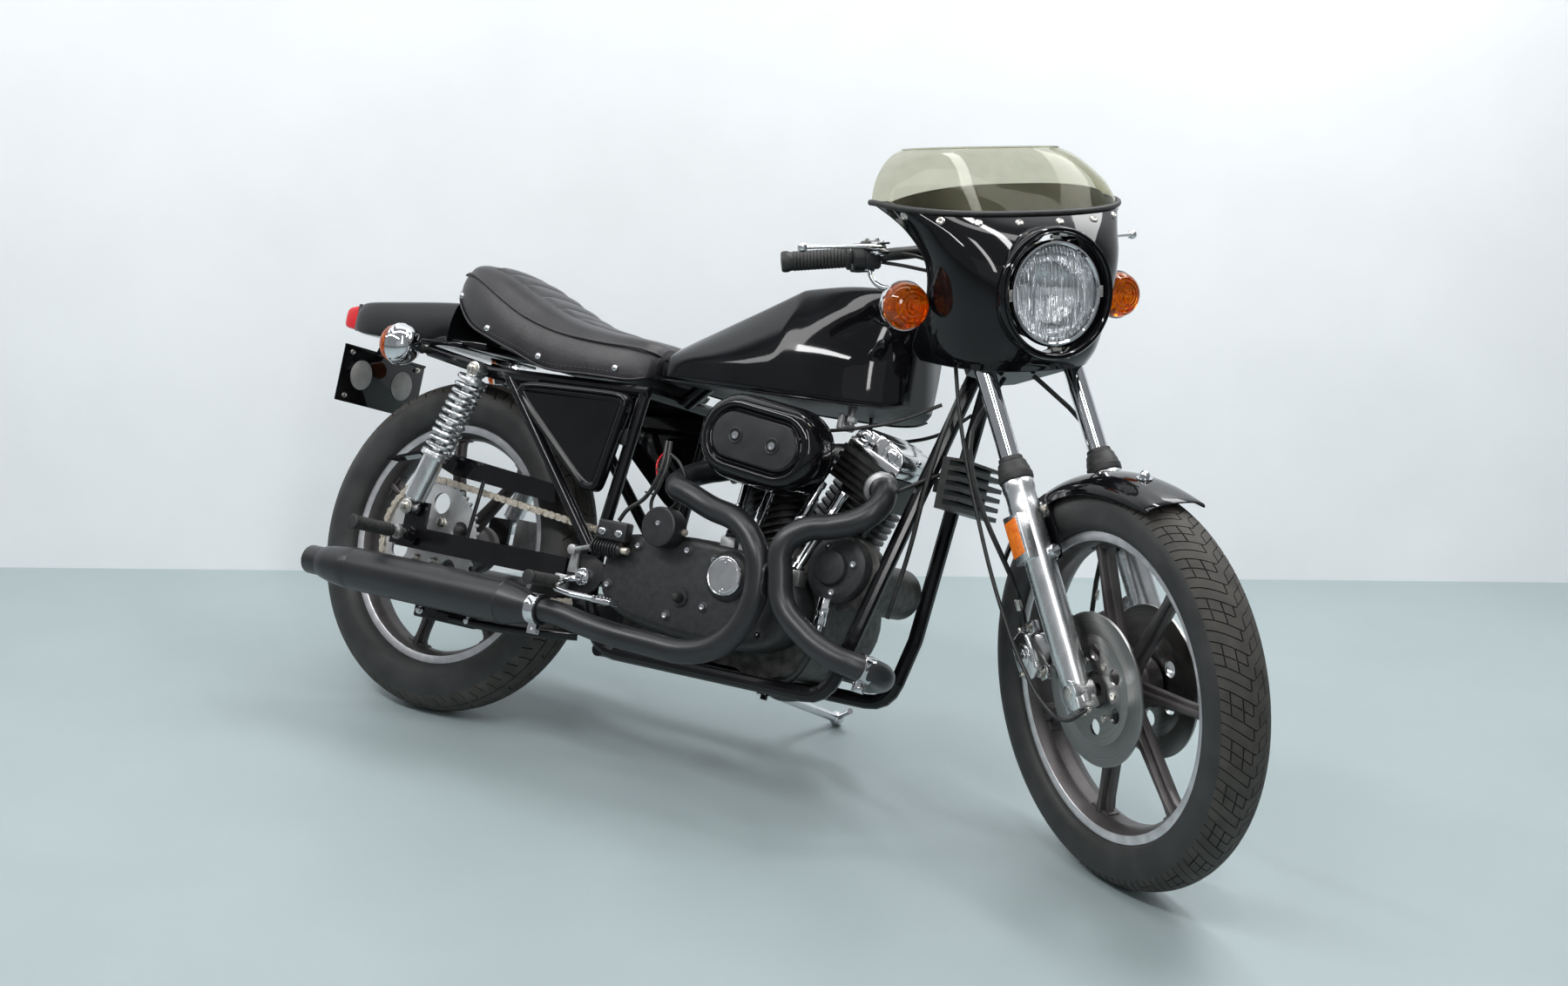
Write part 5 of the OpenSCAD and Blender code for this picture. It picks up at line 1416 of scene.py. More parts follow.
def makeInstruments():
    out = Vector((-math.sin(math.radians(50)), 0, math.cos(math.radians(50))))
    seatSpot = Vector((1.148, 0.046, 1.062))
    cup = turned([(0, 0.0), (0.034, 0.0), (0.04, 0.006), (0.0415, 0.02), (0.0415, 0.046),
        (0.0395, 0.0495), (0.0365, 0.049), (0.036, 0.044), (0, 0.044)], seatSpot, out, 48)
    lug = block((-0.008, 0.052, 0.808), (0.032, 0.064, 0.828), 0.002)
    lug.data.transform(steered.inverted() @ fork)
    finish([cup, lug], "gaugeCups", onSteering, "satinBlack", stands="instruments", smooth=35, both=True)
    hoop = turned([(0.0362, 0.0455), (0.0412, 0.0455), (0.0418, 0.048), (0.0405, 0.051), (0.0375, 0.0508),
        (0.0362, 0.0485), (0.0362, 0.0455)], seatSpot, out, 56)
    side = Vector((0, 1, 0))
    up = side.cross(out)
    marks = []
    for k in range(11):
        a = math.radians(-130 + 26 * k)
        way = side * math.sin(a) + up * -math.cos(a)
        spot = seatSpot + out * 0.0445 + way * 0.03
        marks.append(rod(spot - way * 0.004, spot + way * 0.002, 0.0006, sides=4))
    needle = rod(seatSpot + out * 0.0452, seatSpot + out * 0.0452 + (side * -0.7 + up * -0.7) * 0.026,
        0.001, sides=6)
    finish([hoop, needle] + marks, "gaugeRings", onSteering, "chrome", smooth=40, both=True)
    top = [rod((0, side * 0.0885, 0.7805), (0, side * 0.0885, 0.7885), 0.015, sides=6, edge=0.001)
        for side in (-1, 1)]
    top.append(rod((-0.0563, 0, 0.7805), (-0.0563, 0, 0.7965), 0.016, sides=6, edge=0.0015))
    finish(top, "clampNuts", onFork, "chrome", smooth=30)
    cable = [(-0.03, -0.112, 0.64), (-0.062, -0.124, 0.5), (-0.082, -0.13, 0.33), (-0.088, -0.13, 0.18),
        (-0.078, -0.128, 0.08), (-0.048, -0.124, -0.006), (-0.012, -0.117, -0.04), (0.01, -0.1, -0.036),
        (0.016, -0.076, -0.024)]
    finish(tube(cable, 0.0036, sides=10, smoothness=8), "speedCable", onFork, "hose", smooth=50)
    ends = [rod((1.2945, side * 0.08, 0.452), (1.2962, side * 0.0755, 0.434), 0.0062, sides=16,
        edge=0.0008) for side in (-1, 1)]
    finish(ends, "hoseEnds", onSteering, "zinc", smooth=35)


makeInstruments()
print("controls made")

def rounded(outline, grow=0.0, times=2):
    # (u, v) outline pushed outwards from its middle, with its corners cut round
    middle = sum((Vector(p) for p in outline), Vector((0, 0))) / len(outline)
    wide = [Vector(p) + (Vector(p) - middle).normalized() * grow for p in outline]
    return [(p.x, p.y) for p in chaikin(wide, times, True)]


def stadium(half, radius, steps=14):
    # oval outline of two half circles
    right = [(half + radius * math.sin(math.pi * k / steps), radius * math.cos(math.pi * k / steps))
        for k in range(steps + 1)]
    return right + [(-u, -v) for u, v in right]


def dome(outline, levels, side=-1):
    # closed skin over an outline in the XZ plane: each level is (inset, height) and rises towards side * Y
    count = len(outline)
    points = [Vector((u, 0, v)) for u, v in outline]
    middle = sum(points, Vector()) / count
    normals = []
    for k in range(count):
        along = points[(k + 1) % count] - points[k - 1]
        inward = Vector((-along.z, 0, along.x)).normalized()
        if inward.dot(middle - points[k]) < 0:
            inward.negate()
        normals.append(inward)

    def at(i, j):
        inset, height = levels[j]
        return points[i % count] + normals[i % count] * inset + Vector((0, side * height, 0))

    skin = gridSkin(count + 1, len(levels), at, loopColumns=True)
    fillHoles(skin)
    outwards(skin)
    return skin


# engine

engine = {
    "crank": (0.815, 0, 0.335), "tilts": {"rear": -20.5, "front": 24.5},
    "gearOutline": ((0.492, 0.404), (0.486, 0.33), (0.5, 0.296), (0.56, 0.27), (0.7, 0.262), (0.85, 0.262),
                    (0.905, 0.33), (0.88, 0.395), (0.8, 0.426), (0.64, 0.424), (0.52, 0.414)),
    "gearScrews": ((0.552, 0.402), (0.661, 0.41), (0.722, 0.402), (0.64, 0.288), (0.716, 0.316),
        (0.843, 0.288),
                   (0.858, 0.392), (0.5, 0.322)),
    "plug": (0.663, 0.325), "dial": (0.756, 0.378), "dialRadius": 0.036,
    "noseOutline": ((0.905, 0.428), (0.918, 0.462), (0.945, 0.478), (0.978, 0.474), (1.004, 0.45),
        (1.004, 0.418),
                    (0.985, 0.388), (0.95, 0.374), (0.918, 0.39)),
    "noseScrews": ((0.938, 0.463), (0.992, 0.44), (0.96, 0.386)),
    "pushrods": (((0.735, -0.128, 0.4495), (0.712, -0.077, 0.56)),
        ((0.775, -0.128, 0.4495), (0.768, -0.077, 0.56)),
                 ((0.842, -0.128, 0.433), (0.866, -0.077, 0.575)),
                     ((0.88, -0.128, 0.414), (0.915, -0.077, 0.56))),
}


def capScrews(spots, y, side, radius=0.0055):
    return [screwHead((x, side * y, z), (0, side, 0), radius, 0.004) for x, z in spots]


def makeCovers():
    cover = dome(rounded(engine["gearOutline"], 0.014, 2), [(0.0, 0.0885), (0.0, 0.106), (0.0, 0.128),
        (0.0025, 0.137), (0.007, 0.1435), (0.013, 0.1465), (0.018, 0.147)])
    pads = [rod((x, -0.14, z), (x, -0.1485, z), 0.0105, sides=24, edge=0.0015) for x,
        z in engine["gearScrews"]]
    dx, dz = engine["dial"]
    collar = turned([(0, 0.0), (0.047, 0.0), (0.043, 0.006), (0.04, 0.0085), (0, 0.0085)],
        (dx, -0.1455, dz), (0, -1, 0), 64)
    px, pz = engine["plug"]
    boss = turned([(0, 0), (0.018, 0), (0.0165, 0.004), (0, 0.004)], (px, -0.1465, pz), (0, -1, 0), 36)
    finish([cover, collar, boss] + pads, "gearCase", onBike, "wrinkleBlack", stands="gear_cover",
        smooth=34, slot="engine_black")
    nose = dome(rounded(engine["noseOutline"], 0.012, 2), [(0.0, 0.0885), (0.0, 0.118), (0.003, 0.124),
        (0.01, 0.1275), (0.016, 0.128)])
    disc = turned([(0, 0), (0.031, 0), (0.031, 0.006), (0.029, 0.01), (0.026, 0.011), (0, 0.011)],
        (0.95, -0.127, 0.428), (0, -1, 0), 48)
    finish([nose, disc], "noseCase", onBike, "wrinkleBlack", smooth=36, slot="engine_black")
    band = dome(rounded(engine["noseOutline"], 0.016, 2), [(0.0, 0.0765), (0.0, 0.1), (0.004, 0.102)])
    band.data.transform(Matrix.Translation((0.012, 0, -0.006)))
    finish(band, "noseBand", onBike, "caseGrey", smooth=36, slot="engine_black")
    screws = capScrews(engine["gearScrews"], 0.1485, -1) + capScrews(engine["noseScrews"], 0.128, -1)
    screws += [screwHead((dx, -0.162, dz + up), (0, -1, 0), 0.0042, 0.0015) for up in (-0.026, 0.026)]
    finish(screws, "caseScrews", onBike, "chrome", smooth=32)
    dial = turned([(0, 0), (0.036, 0), (0.036, 0.006), (0.0345, 0.0085), (0.0335, 0.0088),
        (0.0325, 0.008), (0.03, 0.008), (0.029, 0.0086), (0, 0.0086)], (dx, -0.1537, dz), (0, -1, 0), 72)
    finish(dial, "pointsCover", onBike, "polished", smooth=30, slot="polished_alloy")
    dot = turned([(0.0, 0.0), (0.01, 0.0), (0.01, 0.004), (0.009, 0.01), (0.006, 0.0145), (0, 0.016)],
        (px, -0.1505, pz), (0, -1, 0), 28)
    finish(dot, "casePlug", onBike, "rubber", smooth=40)
    left = [(0.815 + 0.112 * math.sin(a), 0.335 + 0.112 * math.cos(a)) for a in [math.pi * k / 16
        for k in range(17)]]
    left += [(0.56 - 0.092 * math.sin(a), 0.33 - 0.092 * math.cos(a)) for a in [math.pi * k / 16
        for k in range(17)]]
    primary = dome(left, [(0.0, 0.0885), (0.0, 0.122), (0.003, 0.131), (0.01, 0.1365), (0.018, 0.138),
        (0.03, 0.138), (0.034, 0.136), (0.04, 0.1355)], side=1)
    finish(primary, "primaryCase", onBike, "wrinkleBlack", stands="primary_cover", smooth=36,
        slot="engine_black")
    rim = [(left[k][0] + (0.69 - left[k][0]) * 0.055, left[k][1] + (0.332 - left[k][1]) * 0.11)
        for k in range(0, 34, 3)]
    finish(capScrews(rim, 0.1375, 1), "primaryScrews", onBike, "chrome", smooth=32)
    inspect = turned([(0, 0), (0.04, 0), (0.04, 0.004), (0.037, 0.0065), (0, 0.007)],
        (0.7, 0.1345, 0.345), (0, 1, 0), 56)
    finish(inspect, "primaryPlate", onBike, "polished", smooth=30)


makeCovers()


def makeHeads():
    tops, bolts = [], []
    for name, tilt in engine["tilts"].items():
        barrel = shiftBy(*engine["crank"]) @ turn(tilt, "Y")
        base = block((-0.06, -0.064, 0.3203), (0.06, 0.064, 0.3375), 0.003)
        ridge = slab([(-0.058, 0.337), (0.058, 0.337), (0.056, 0.35), (0.046, 0.3635), (0.026, 0.368),
            (-0.026, 0.368), (-0.046, 0.3635), (-0.056, 0.35)], -0.061, 0.061, edge=0.0045, segments=3)
        rib = slab([(-0.012, 0.33), (0.012, 0.33), (0.012, 0.3695), (-0.012, 0.3695)], -0.0635, 0.0635,
            edge=0.003)
        ends = [rod((x, side * 0.058, 0.351), (x, side * 0.0665, 0.351), 0.0115, sides=28, edge=0.0012)
            for x in (-0.032, 0.032) for side in (-1, 1)]
        whole = join([base, ridge, rib] + ends, "head")
        whole.data.transform(barrel)
        tops.append(whole)
        for x in (-0.05, 0.05):
            for y in (-0.052, 0.0, 0.052):
                bolt = hexHead((x, y, 0.3375 if y else 0.352), (0, 0, 1), 0.011, 0.008)
                bolt.data.transform(barrel)
                bolts.append(bolt)
        for x in (-0.032, 0.032):
            bolt = hexHead((x, -0.066, 0.351), (0, -1, 0), 0.013, 0.006)
            bolt.data.transform(barrel)
            bolts.append(bolt)
    finish(tops, "rockerCovers", onBike, "polished", stands="rocker_boxes", smooth=30,
        slot="polished_alloy")
    finish(bolts, "rockerBolts", onBike, "chrome", smooth=32)
    tubes = []
    for foot, head in engine["pushrods"]:
        foot, head = Vector(foot), Vector(head)
        way = head - foot
        long = way.length
        tubes.append(turned([(0, 0), (0.0125, 0), (0.0125, 0.008), (0.0095, 0.01), (0.0095, long * 0.45),
            (0.0105, long * 0.46), (0.0105, long * 0.52), (0.0085, long * 0.54), (0.0085, long * 0.92),
            (0.0105, long * 0.94), (0.0105, long), (0, long)], foot, way, 28))
    finish(tubes, "pushrodTubes", onBike, "chrome", smooth=35, slot="chrome")
    lifters = [block((foot[0] - 0.016, -0.14, foot[2] - 0.03), (foot[0] + 0.016, -0.112, foot[2] - 0.001),
        0.003) for foot, head in engine["pushrods"]]
    finish(lifters, "lifterBlocks", onBike, "castAlloy", smooth=30)


makeHeads()


def makeAirCleaner():
    place = bike @ shiftBy(0.778, -0.1125, 0.62) @ turn(7, "Y")
    oval = stadium(0.05, 0.078)
    shell = dome(oval, [(0.01, 0.0), (0.0, 0.004), (0.0, 0.04), (0.0012, 0.05), (0.006, 0.0615),
        (0.013, 0.0695), (0.02, 0.073), (0.0235, 0.073), (0.0262, 0.0715), (0.0285, 0.067),
        (0.0315, 0.065), (0.0345, 0.067), (0.0362, 0.0705), (0.039, 0.0718)])
    seam = dome(oval, [(-0.0006, 0.0125), (-0.0016, 0.0135), (-0.0016, 0.0155), (-0.0006, 0.0165)])
    finish([shell, seam], "airCleanerShell", (place, "chassis"), "glossBlack", stands="air_cleaner",
        smooth=40, slot="gloss_black")
    plate = dome(stadium(0.05, 0.04), [(0.0, 0.0685), (0.0, 0.0722), (0.0012, 0.0735), (0.004, 0.0737)])
    cups, heads = [], []
    for x in (-0.04, 0.04):
        cups.append(turned([(0.0075, 0.0), (0.0155, 0.0), (0.0148, 0.0016), (0.013, 0.0018),
            (0.01, -0.0005), (0.0075, 0.0)], (x, -0.0737, 0), (0, -1, 0), 32))
        heads.append(screwHead((x, -0.0735, 0), (0, -1, 0), 0.0068, 0.0022))
    finish([plate] + cups, "airCleanerPlate", (place, "chassis"), "satinBlack", smooth=35)
    finish(heads, "airCleanerScrews", (place, "chassis"), "chrome", smooth=32)


makeAirCleaner()
print("engine made")


# exhaust

exhaust = {
    "pipe": 0.022,
    "rear": ((0.653, -0.04, 0.5788), (0.636, -0.046, 0.571), (0.614, -0.068, 0.56), (0.598, -0.105, 0.541),
             (0.606, -0.142, 0.52), (0.64, -0.152, 0.511), (0.698, -0.16, 0.493), (0.781, -0.18, 0.474),
             (0.828, -0.19, 0.436), (0.846, -0.19, 0.384), (0.838, -0.19, 0.322), (0.806, -0.19, 0.27),
             (0.745, -0.19, 0.238), (0.64, -0.192, 0.234), (0.52, -0.196, 0.241), (0.44, -0.2, 0.252),
             (0.372, -0.2, 0.252)),
    "front": ((0.985, -0.078, 0.58), (1.01, -0.103, 0.572), (1.018, -0.128, 0.545), (0.996, -0.148, 0.515),
              (0.955, -0.162, 0.496), (0.915, -0.176, 0.484), (0.884, -0.19, 0.45), (0.8895, -0.19, 0.395),
              (0.905, -0.19, 0.35), (0.952, -0.19, 0.311), (1.015, -0.186, 0.281), (1.058, -0.17, 0.272),
              (1.082, -0.135, 0.266), (1.068, -0.09, 0.258), (1.025, -0.035, 0.25), (0.98, 0.028, 0.245),
              (0.94, 0.092, 0.243), (0.92, 0.132, 0.243), (0.893, 0.168, 0.245), (0.83, 0.192, 0.249),
              (0.64, 0.2, 0.252), (0.44, 0.2, 0.252), (0.372, 0.2, 0.252)),
    "mufflerFront": 0.405, "mufflerZ": 0.252,
    "mufflerProfile": ((0.0225, 0.0), (0.0265, 0.0), (0.027, 0.022), (0.0285, 0.034), (0.035, 0.055),
        (0.0395, 0.078),
                       (0.0405, 0.0865), (0.0412, 0.087), (0.042, 0.0885), (0.042, 0.47), (0.0412, 0.4715),
                       (0.0412, 0.473), (0.0418, 0.4745), (0.0405, 0.5), (0.0365, 0.535), (0.0325, 0.556),
                           (0.029, 0.562),
                       (0.0285, 0.566), (0.0285, 0.5965), (0.0275, 0.5995), (0.0205, 0.5995),
                           (0.019, 0.5975),
                       (0.019, 0.43), (0.0, 0.43), (0.0, 0.08), (0.0225, 0.08), (0.0225, 0.0)),
}


def strapClamp(spot, way, radius, side=(0, -1, 0)):
    # band round a pipe with two ears and a bolt
    way = Vector(way).normalized()
    out = (Vector(side) - way * Vector(side).dot(way)).normalized()
    spot = Vector(spot)
    band = turned([(radius - 0.0006, -0.011), (radius + 0.0018, -0.011), (radius + 0.0022, -0.0095),
        (radius + 0.0018, -0.008), (radius + 0.0018, 0.008), (radius + 0.0022, 0.0095), (radius + 0.0018,
        0.011), (radius - 0.0006, 0.011), (radius - 0.0006, -0.011)], spot, way, 48)
    across = way.cross(out)
    ears = []
    for off in (-0.0045, 0.0045):
        ear = block((-0.01, -0.0012, 0), (0.01, 0.0012, 0.02), 0.0006)
        axes = Matrix((way, across, out)).transposed().to_4x4()
        ear.data.transform(Matrix.Translation(spot + across * off + out * (radius - 0.001)) @ axes)
        ears.append(ear)
    middle = spot + out * (radius + 0.011)
    bolt = rod(middle - across * 0.01, middle + across * 0.01, 0.003, sides=12)
    return join([band, bolt, hexHead(middle + across * 0.006, across, 0.01, 0.006)] + ears, "clamp")


def makeExhaust():
    pipes = [tube(exhaust[name], exhaust["pipe"], sides=28, smoothness=5) for name in ("rear", "front")]
    flanges = [turned([(0.021, 0.0), (0.03, 0.0), (0.031, 0.004), (0.03, 0.008), (0.0225, 0.011),
        (0.021, 0.0)], Vector(exhaust[name][0]) + (Vector(exhaust[name][1])
        - Vector(exhaust[name][0])).normalized() * 0.003, Vector(exhaust[name][1])
        - Vector(exhaust[name][0]), 36) for name in ("rear", "front")]
    finish(pipes, "headerPipes", onBike, "pipeBlack", stands="exhaust_headers", smooth=45,
        slot="exhaust_black")
    finish(flanges, "headerFlanges", onBike, "castAlloy", smooth=35)
    weld = tube([(0.8655, -0.186, 0.352), (0.8665, -0.2055, 0.368), (0.866, -0.207, 0.386),
        (0.8655, -0.2065, 0.404), (0.864, -0.186, 0.42)], 0.0032, sides=8, smoothness=10)
    finish(weld, "headerWeld", onBike, "pipeBlack", smooth=45)
    front = exhaust["mufflerFront"]
    muffler = turned(exhaust["mufflerProfile"], (front, 0.2, exhaust["mufflerZ"]), (-1, 0, 0), 72)
    finish(muffler, "mufflerShells", onBike, "pipeBlack", stands="mufflers", smooth=28,
        slot="exhaust_black", both=True)
    clamps = [strapClamp((0.392, side * 0.2, 0.252), (1, 0, 0), 0.0272, (0, 0, -1)) for side in (-1, 1)]
    clamps.append(strapClamp((1.068, -0.158, 0.27), (0.55, 0.82, -0.12), 0.0222, (0, 0, -1)))
    clamps.append(strapClamp((0.64, 0.2, 0.252), (1, 0, 0), 0.0222, (0, 0, -1)))
    finish(clamps, "exhaustClamps", onBike, "chrome", smooth=35)
    bar = tube([(0.15, -0.15, 0.196), (0.25, -0.15, 0.199), (0.33, -0.13, 0.205), (0.4, -0.075, 0.214)],
        0.01, sides=14, smoothness=8)
    plate = block((0.06, -0.158, 0.186), (0.215, -0.146, 0.212), 0.003)
    studs = [hexHead((x, -0.158, 0.199), (0, -1, 0), 0.011, 0.006) for x in (0.076, 0.2)]
    hanger = block((0.12, -0.195, 0.205), (0.15, -0.175, 0.214), 0.001)
    finish([bar, plate, hanger], "mufflerHanger", onBike, "frameBlack", smooth=40)
    finish(studs, "hangerBolts", onBike, "chrome", smooth=32)


makeExhaust()


# side covers

def makeSideCovers():
    outline = rounded([(0.2, 0.64), (0.203, 0.662), (0.222, 0.6715), (0.33, 0.6745), (0.446, 0.6765),
        (0.4635, 0.668), (0.4655, 0.648), (0.452, 0.575), (0.44, 0.505), (0.432, 0.486), (0.412, 0.484),
        (0.392, 0.49), (0.3, 0.562)], 0.0, 2)
    cover = dome(outline, [(0.006, 0.0), (0.0, 0.002), (0.0, 0.018), (0.002, 0.0235), (0.0055, 0.0257),
        (0.0085, 0.0257), (0.0105, 0.024), (0.0125, 0.0205), (0.015, 0.0192), (0.018, 0.0192)], side=1)
    cover.data.transform(Matrix.Translation((0, 0.1325, 0)))
    finish(cover, "sideCoverSkins", onBike, "glossBlack", stands="side_covers", smooth=40,
        slot="gloss_black", both=True)
    posts = [block((0.45, 0.1266, 0.58), (0.464, 0.1333, 0.61), 0.001)]
    finish(posts, "sideCoverPosts", onBike, "rubber", smooth=30, both=True)


makeSideCovers()
print("exhaust and side covers made")


# rear shocks

shock = {"top": (0.092, 0.152, 0.678), "foot": (-0.008, 0.152, 0.392), "turns": 11.5,
    "coilRadius": 0.0262, "wire": 0.0042, "springFrom": 0.075, "springTo": 0.625}


def makeShocks():
    top, foot = Vector(shock["top"]), Vector(shock["foot"])
    way = foot - top
    long = way.length
    along = way.normalized()
    side = Vector((0, 1, 0))
    ahead = side.cross(along)
    coil = []
    steps = int(shock["turns"] * 14)
    for k in range(steps + 1):
        t = k / steps
        a = math.tau * shock["turns"] * t
        reach = long * (shock["springFrom"] + (shock["springTo"] - shock["springFrom"]) * t)
        coil.append(top + along * reach + (side * math.cos(a) + ahead * math.sin(a)) * shock["coilRadius"])
    spring = tube(coil, shock["wire"], sides=8, straight=True)
    core = turned([(0, 0.012), (0.016, 0.012), (0.016, 0.018), (0.03, 0.019), (0.031, 0.022),
        (0.031, 0.026), (0.012, 0.03), (0.012, long * 0.6), (0.029, long * 0.605), (0.03, long * 0.615),
        (0.03, long * 0.632), (0.0225, long * 0.64), (0.022, long * 0.66), (0.022, long * 0.93), (0.018,
        long * 0.945), (0, long * 0.95)], top, way, 40)
    eyes = [rod(p + Vector((0, -0.014, 0)), p + Vector((0, 0.014, 0)), 0.0155, sides=28, edge=0.0015)
        for p in (top, foot)]
    finish([spring, core] + eyes, "shockUnits", onBike, "legAlloy", stands="rear_shocks", smooth=38,
        slot="chrome", both=True)
    caps = []
    for p in (top, foot):
        caps.append(rod(p + Vector((0, 0.0135, 0)), p + Vector((0, 0.0165, 0)), 0.0135, sides=24,
            edge=0.0006))
        caps.append(hexHead(p + Vector((0, 0.0165, 0)), (0, 1, 0), 0.013, 0.007))
    finish(caps, "shockBolts", onBike, "zinc", smooth=32, both=True)


makeShocks()


# chain

chain = {"y": -0.085, "pitch": 0.015875, "eyeRadius": 0.0066, "waist": 0.0048,
    "rear": (0.0, 0.335, 0.1214), "front": (0.52, 0.352, 0.0535)}


def chainRun():
    # points one pitch apart along the loop round both sprockets
    rx, rz, rr = chain["rear"]
    fx, fz, fr = chain["front"]
    span = math.hypot(fx - rx, fz - rz)
    tiltUp = math.atan2(fz - rz, fx - rx)
    wrapTilt = math.asin((rr - fr) / span)
    straight = math.sqrt(span ** 2 - (rr - fr) ** 2)
    topAngle = tiltUp + math.pi / 2 - wrapTilt
    lowAngle = tiltUp - math.pi / 2 + wrapTilt
    rearArc = rr * (math.tau - (topAngle - lowAngle))
    frontArc = fr * (topAngle - lowAngle)
    total = 2 * straight + rearArc + frontArc
    links = 2 * round(total / chain["pitch"] / 2)
    spots = []

    def on(x, z, r, angle):
        return x + r * math.cos(angle), z + r * math.sin(angle)

    def between(start, end, t):
        return tuple(a + (b - a) * t for a, b in zip(start, end))

    lowRun = on(rx, rz, rr, lowAngle), on(fx, fz, fr, lowAngle)
    topRun = on(fx, fz, fr, topAngle), on(rx, rz, rr, topAngle)
    for k in range(links):
        s = total * k / links
        if s < rearArc:
            spots.append(on(rx, rz, rr, topAngle + s / rr))
        elif s < rearArc + straight:
            spots.append(between(*lowRun, (s - rearArc) / straight))
        elif s < rearArc + straight + frontArc:
            spots.append(on(fx, fz, fr, lowAngle + (s - rearArc - straight) / fr))
        else:
            spots.append(between(*topRun, (s - rearArc - straight - frontArc) / straight))
    return spots


def makeChain():
    half = chain["pitch"] / 2
    eye, waist = chain["eyeRadius"], chain["waist"]
    quarters = [-math.pi / 2 + math.pi * k / 7 for k in range(8)]
    lobe = [(half + eye * math.cos(a), eye * math.sin(a)) for a in quarters]
    outline = lobe + [(0, waist)] + [(-u, -v) for u, v in lobe] + [(0, -waist)]
    kinds = []
    for y in (0.0082, 0.0056):
        plates = [slab(outline, s * y - 0.0008, s * y + 0.0008) for s in (-1, 1)]
        pins = [rod((s * half, -0.01, 0), (s * half, 0.01, 0), 0.0026, sides=8)
            for s in (-1, 1)] if y > 0.007 else [rod((s * half, -0.0048, 0), (s * half, 0.0048, 0), 0.005,
            sides=10) for s in (-1, 1)]
        kinds.append(join(plates + pins, "link"))
    spots = chainRun()
    links = []
    for k, (x, z) in enumerate(spots):
        nx, nz = spots[(k + 1) % len(spots)]
        angle = math.atan2(nz - z, nx - x)
        place = shiftBy((x + nx) / 2, chain["y"], (z + nz) / 2) @ Matrix.Rotation(-angle, 4, "Y")
        links.append(copyOf(kinds[k % 2], place))
    for kind in kinds:
        bpy.data.objects.remove(kind)
    finish(links, "chainLinks", onBike, "chainGold", stands="chain", smooth=30, slot="chain_steel")


makeChain()


# foot controls

feet = {
    "peg": ((0.404, 0.176, 0.308), (0.404, 0.262, 0.308)),
        "rearPeg": ((-0.03, 0.168, 0.34), (-0.042, 0.268, 0.343)),
    "brake": ((0.44, -0.141, 0.326), (0.416, -0.172, 0.312), (0.425, -0.2, 0.298), (0.452, -0.208, 0.293),
              (0.5, -0.212, 0.292), (0.548, -0.214, 0.292)),
    "shift": ((0.448, 0.15, 0.322), (0.47, 0.176, 0.312), (0.51, 0.188, 0.306), (0.545, 0.19, 0.312)),
}


def ribbedPeg(start, end, radius):
    start, end = Vector(start), Vector(end)
    long = (end - start).length
    profile = [(0, 0), (radius * 0.86, 0), (radius * 0.86, 0.004)]
    ribs = 13
    for k in range(ribs):
        here = 0.006 + (long - 0.018) * k / ribs
        wide = (long - 0.018) / ribs
        profile += [(radius * 0.8, here), (radius * 0.92, here + wide * 0.15), (radius * 0.92, here + wide
            * 0.65), (radius * 0.8, here + wide * 0.8)]
    profile += [(radius * 0.86, long - 0.011), (radius, long - 0.009), (radius, long - 0.002), (radius
        * 0.9, long), (0, long + 0.0008)]
    return turned(profile, start, end - start, 28)


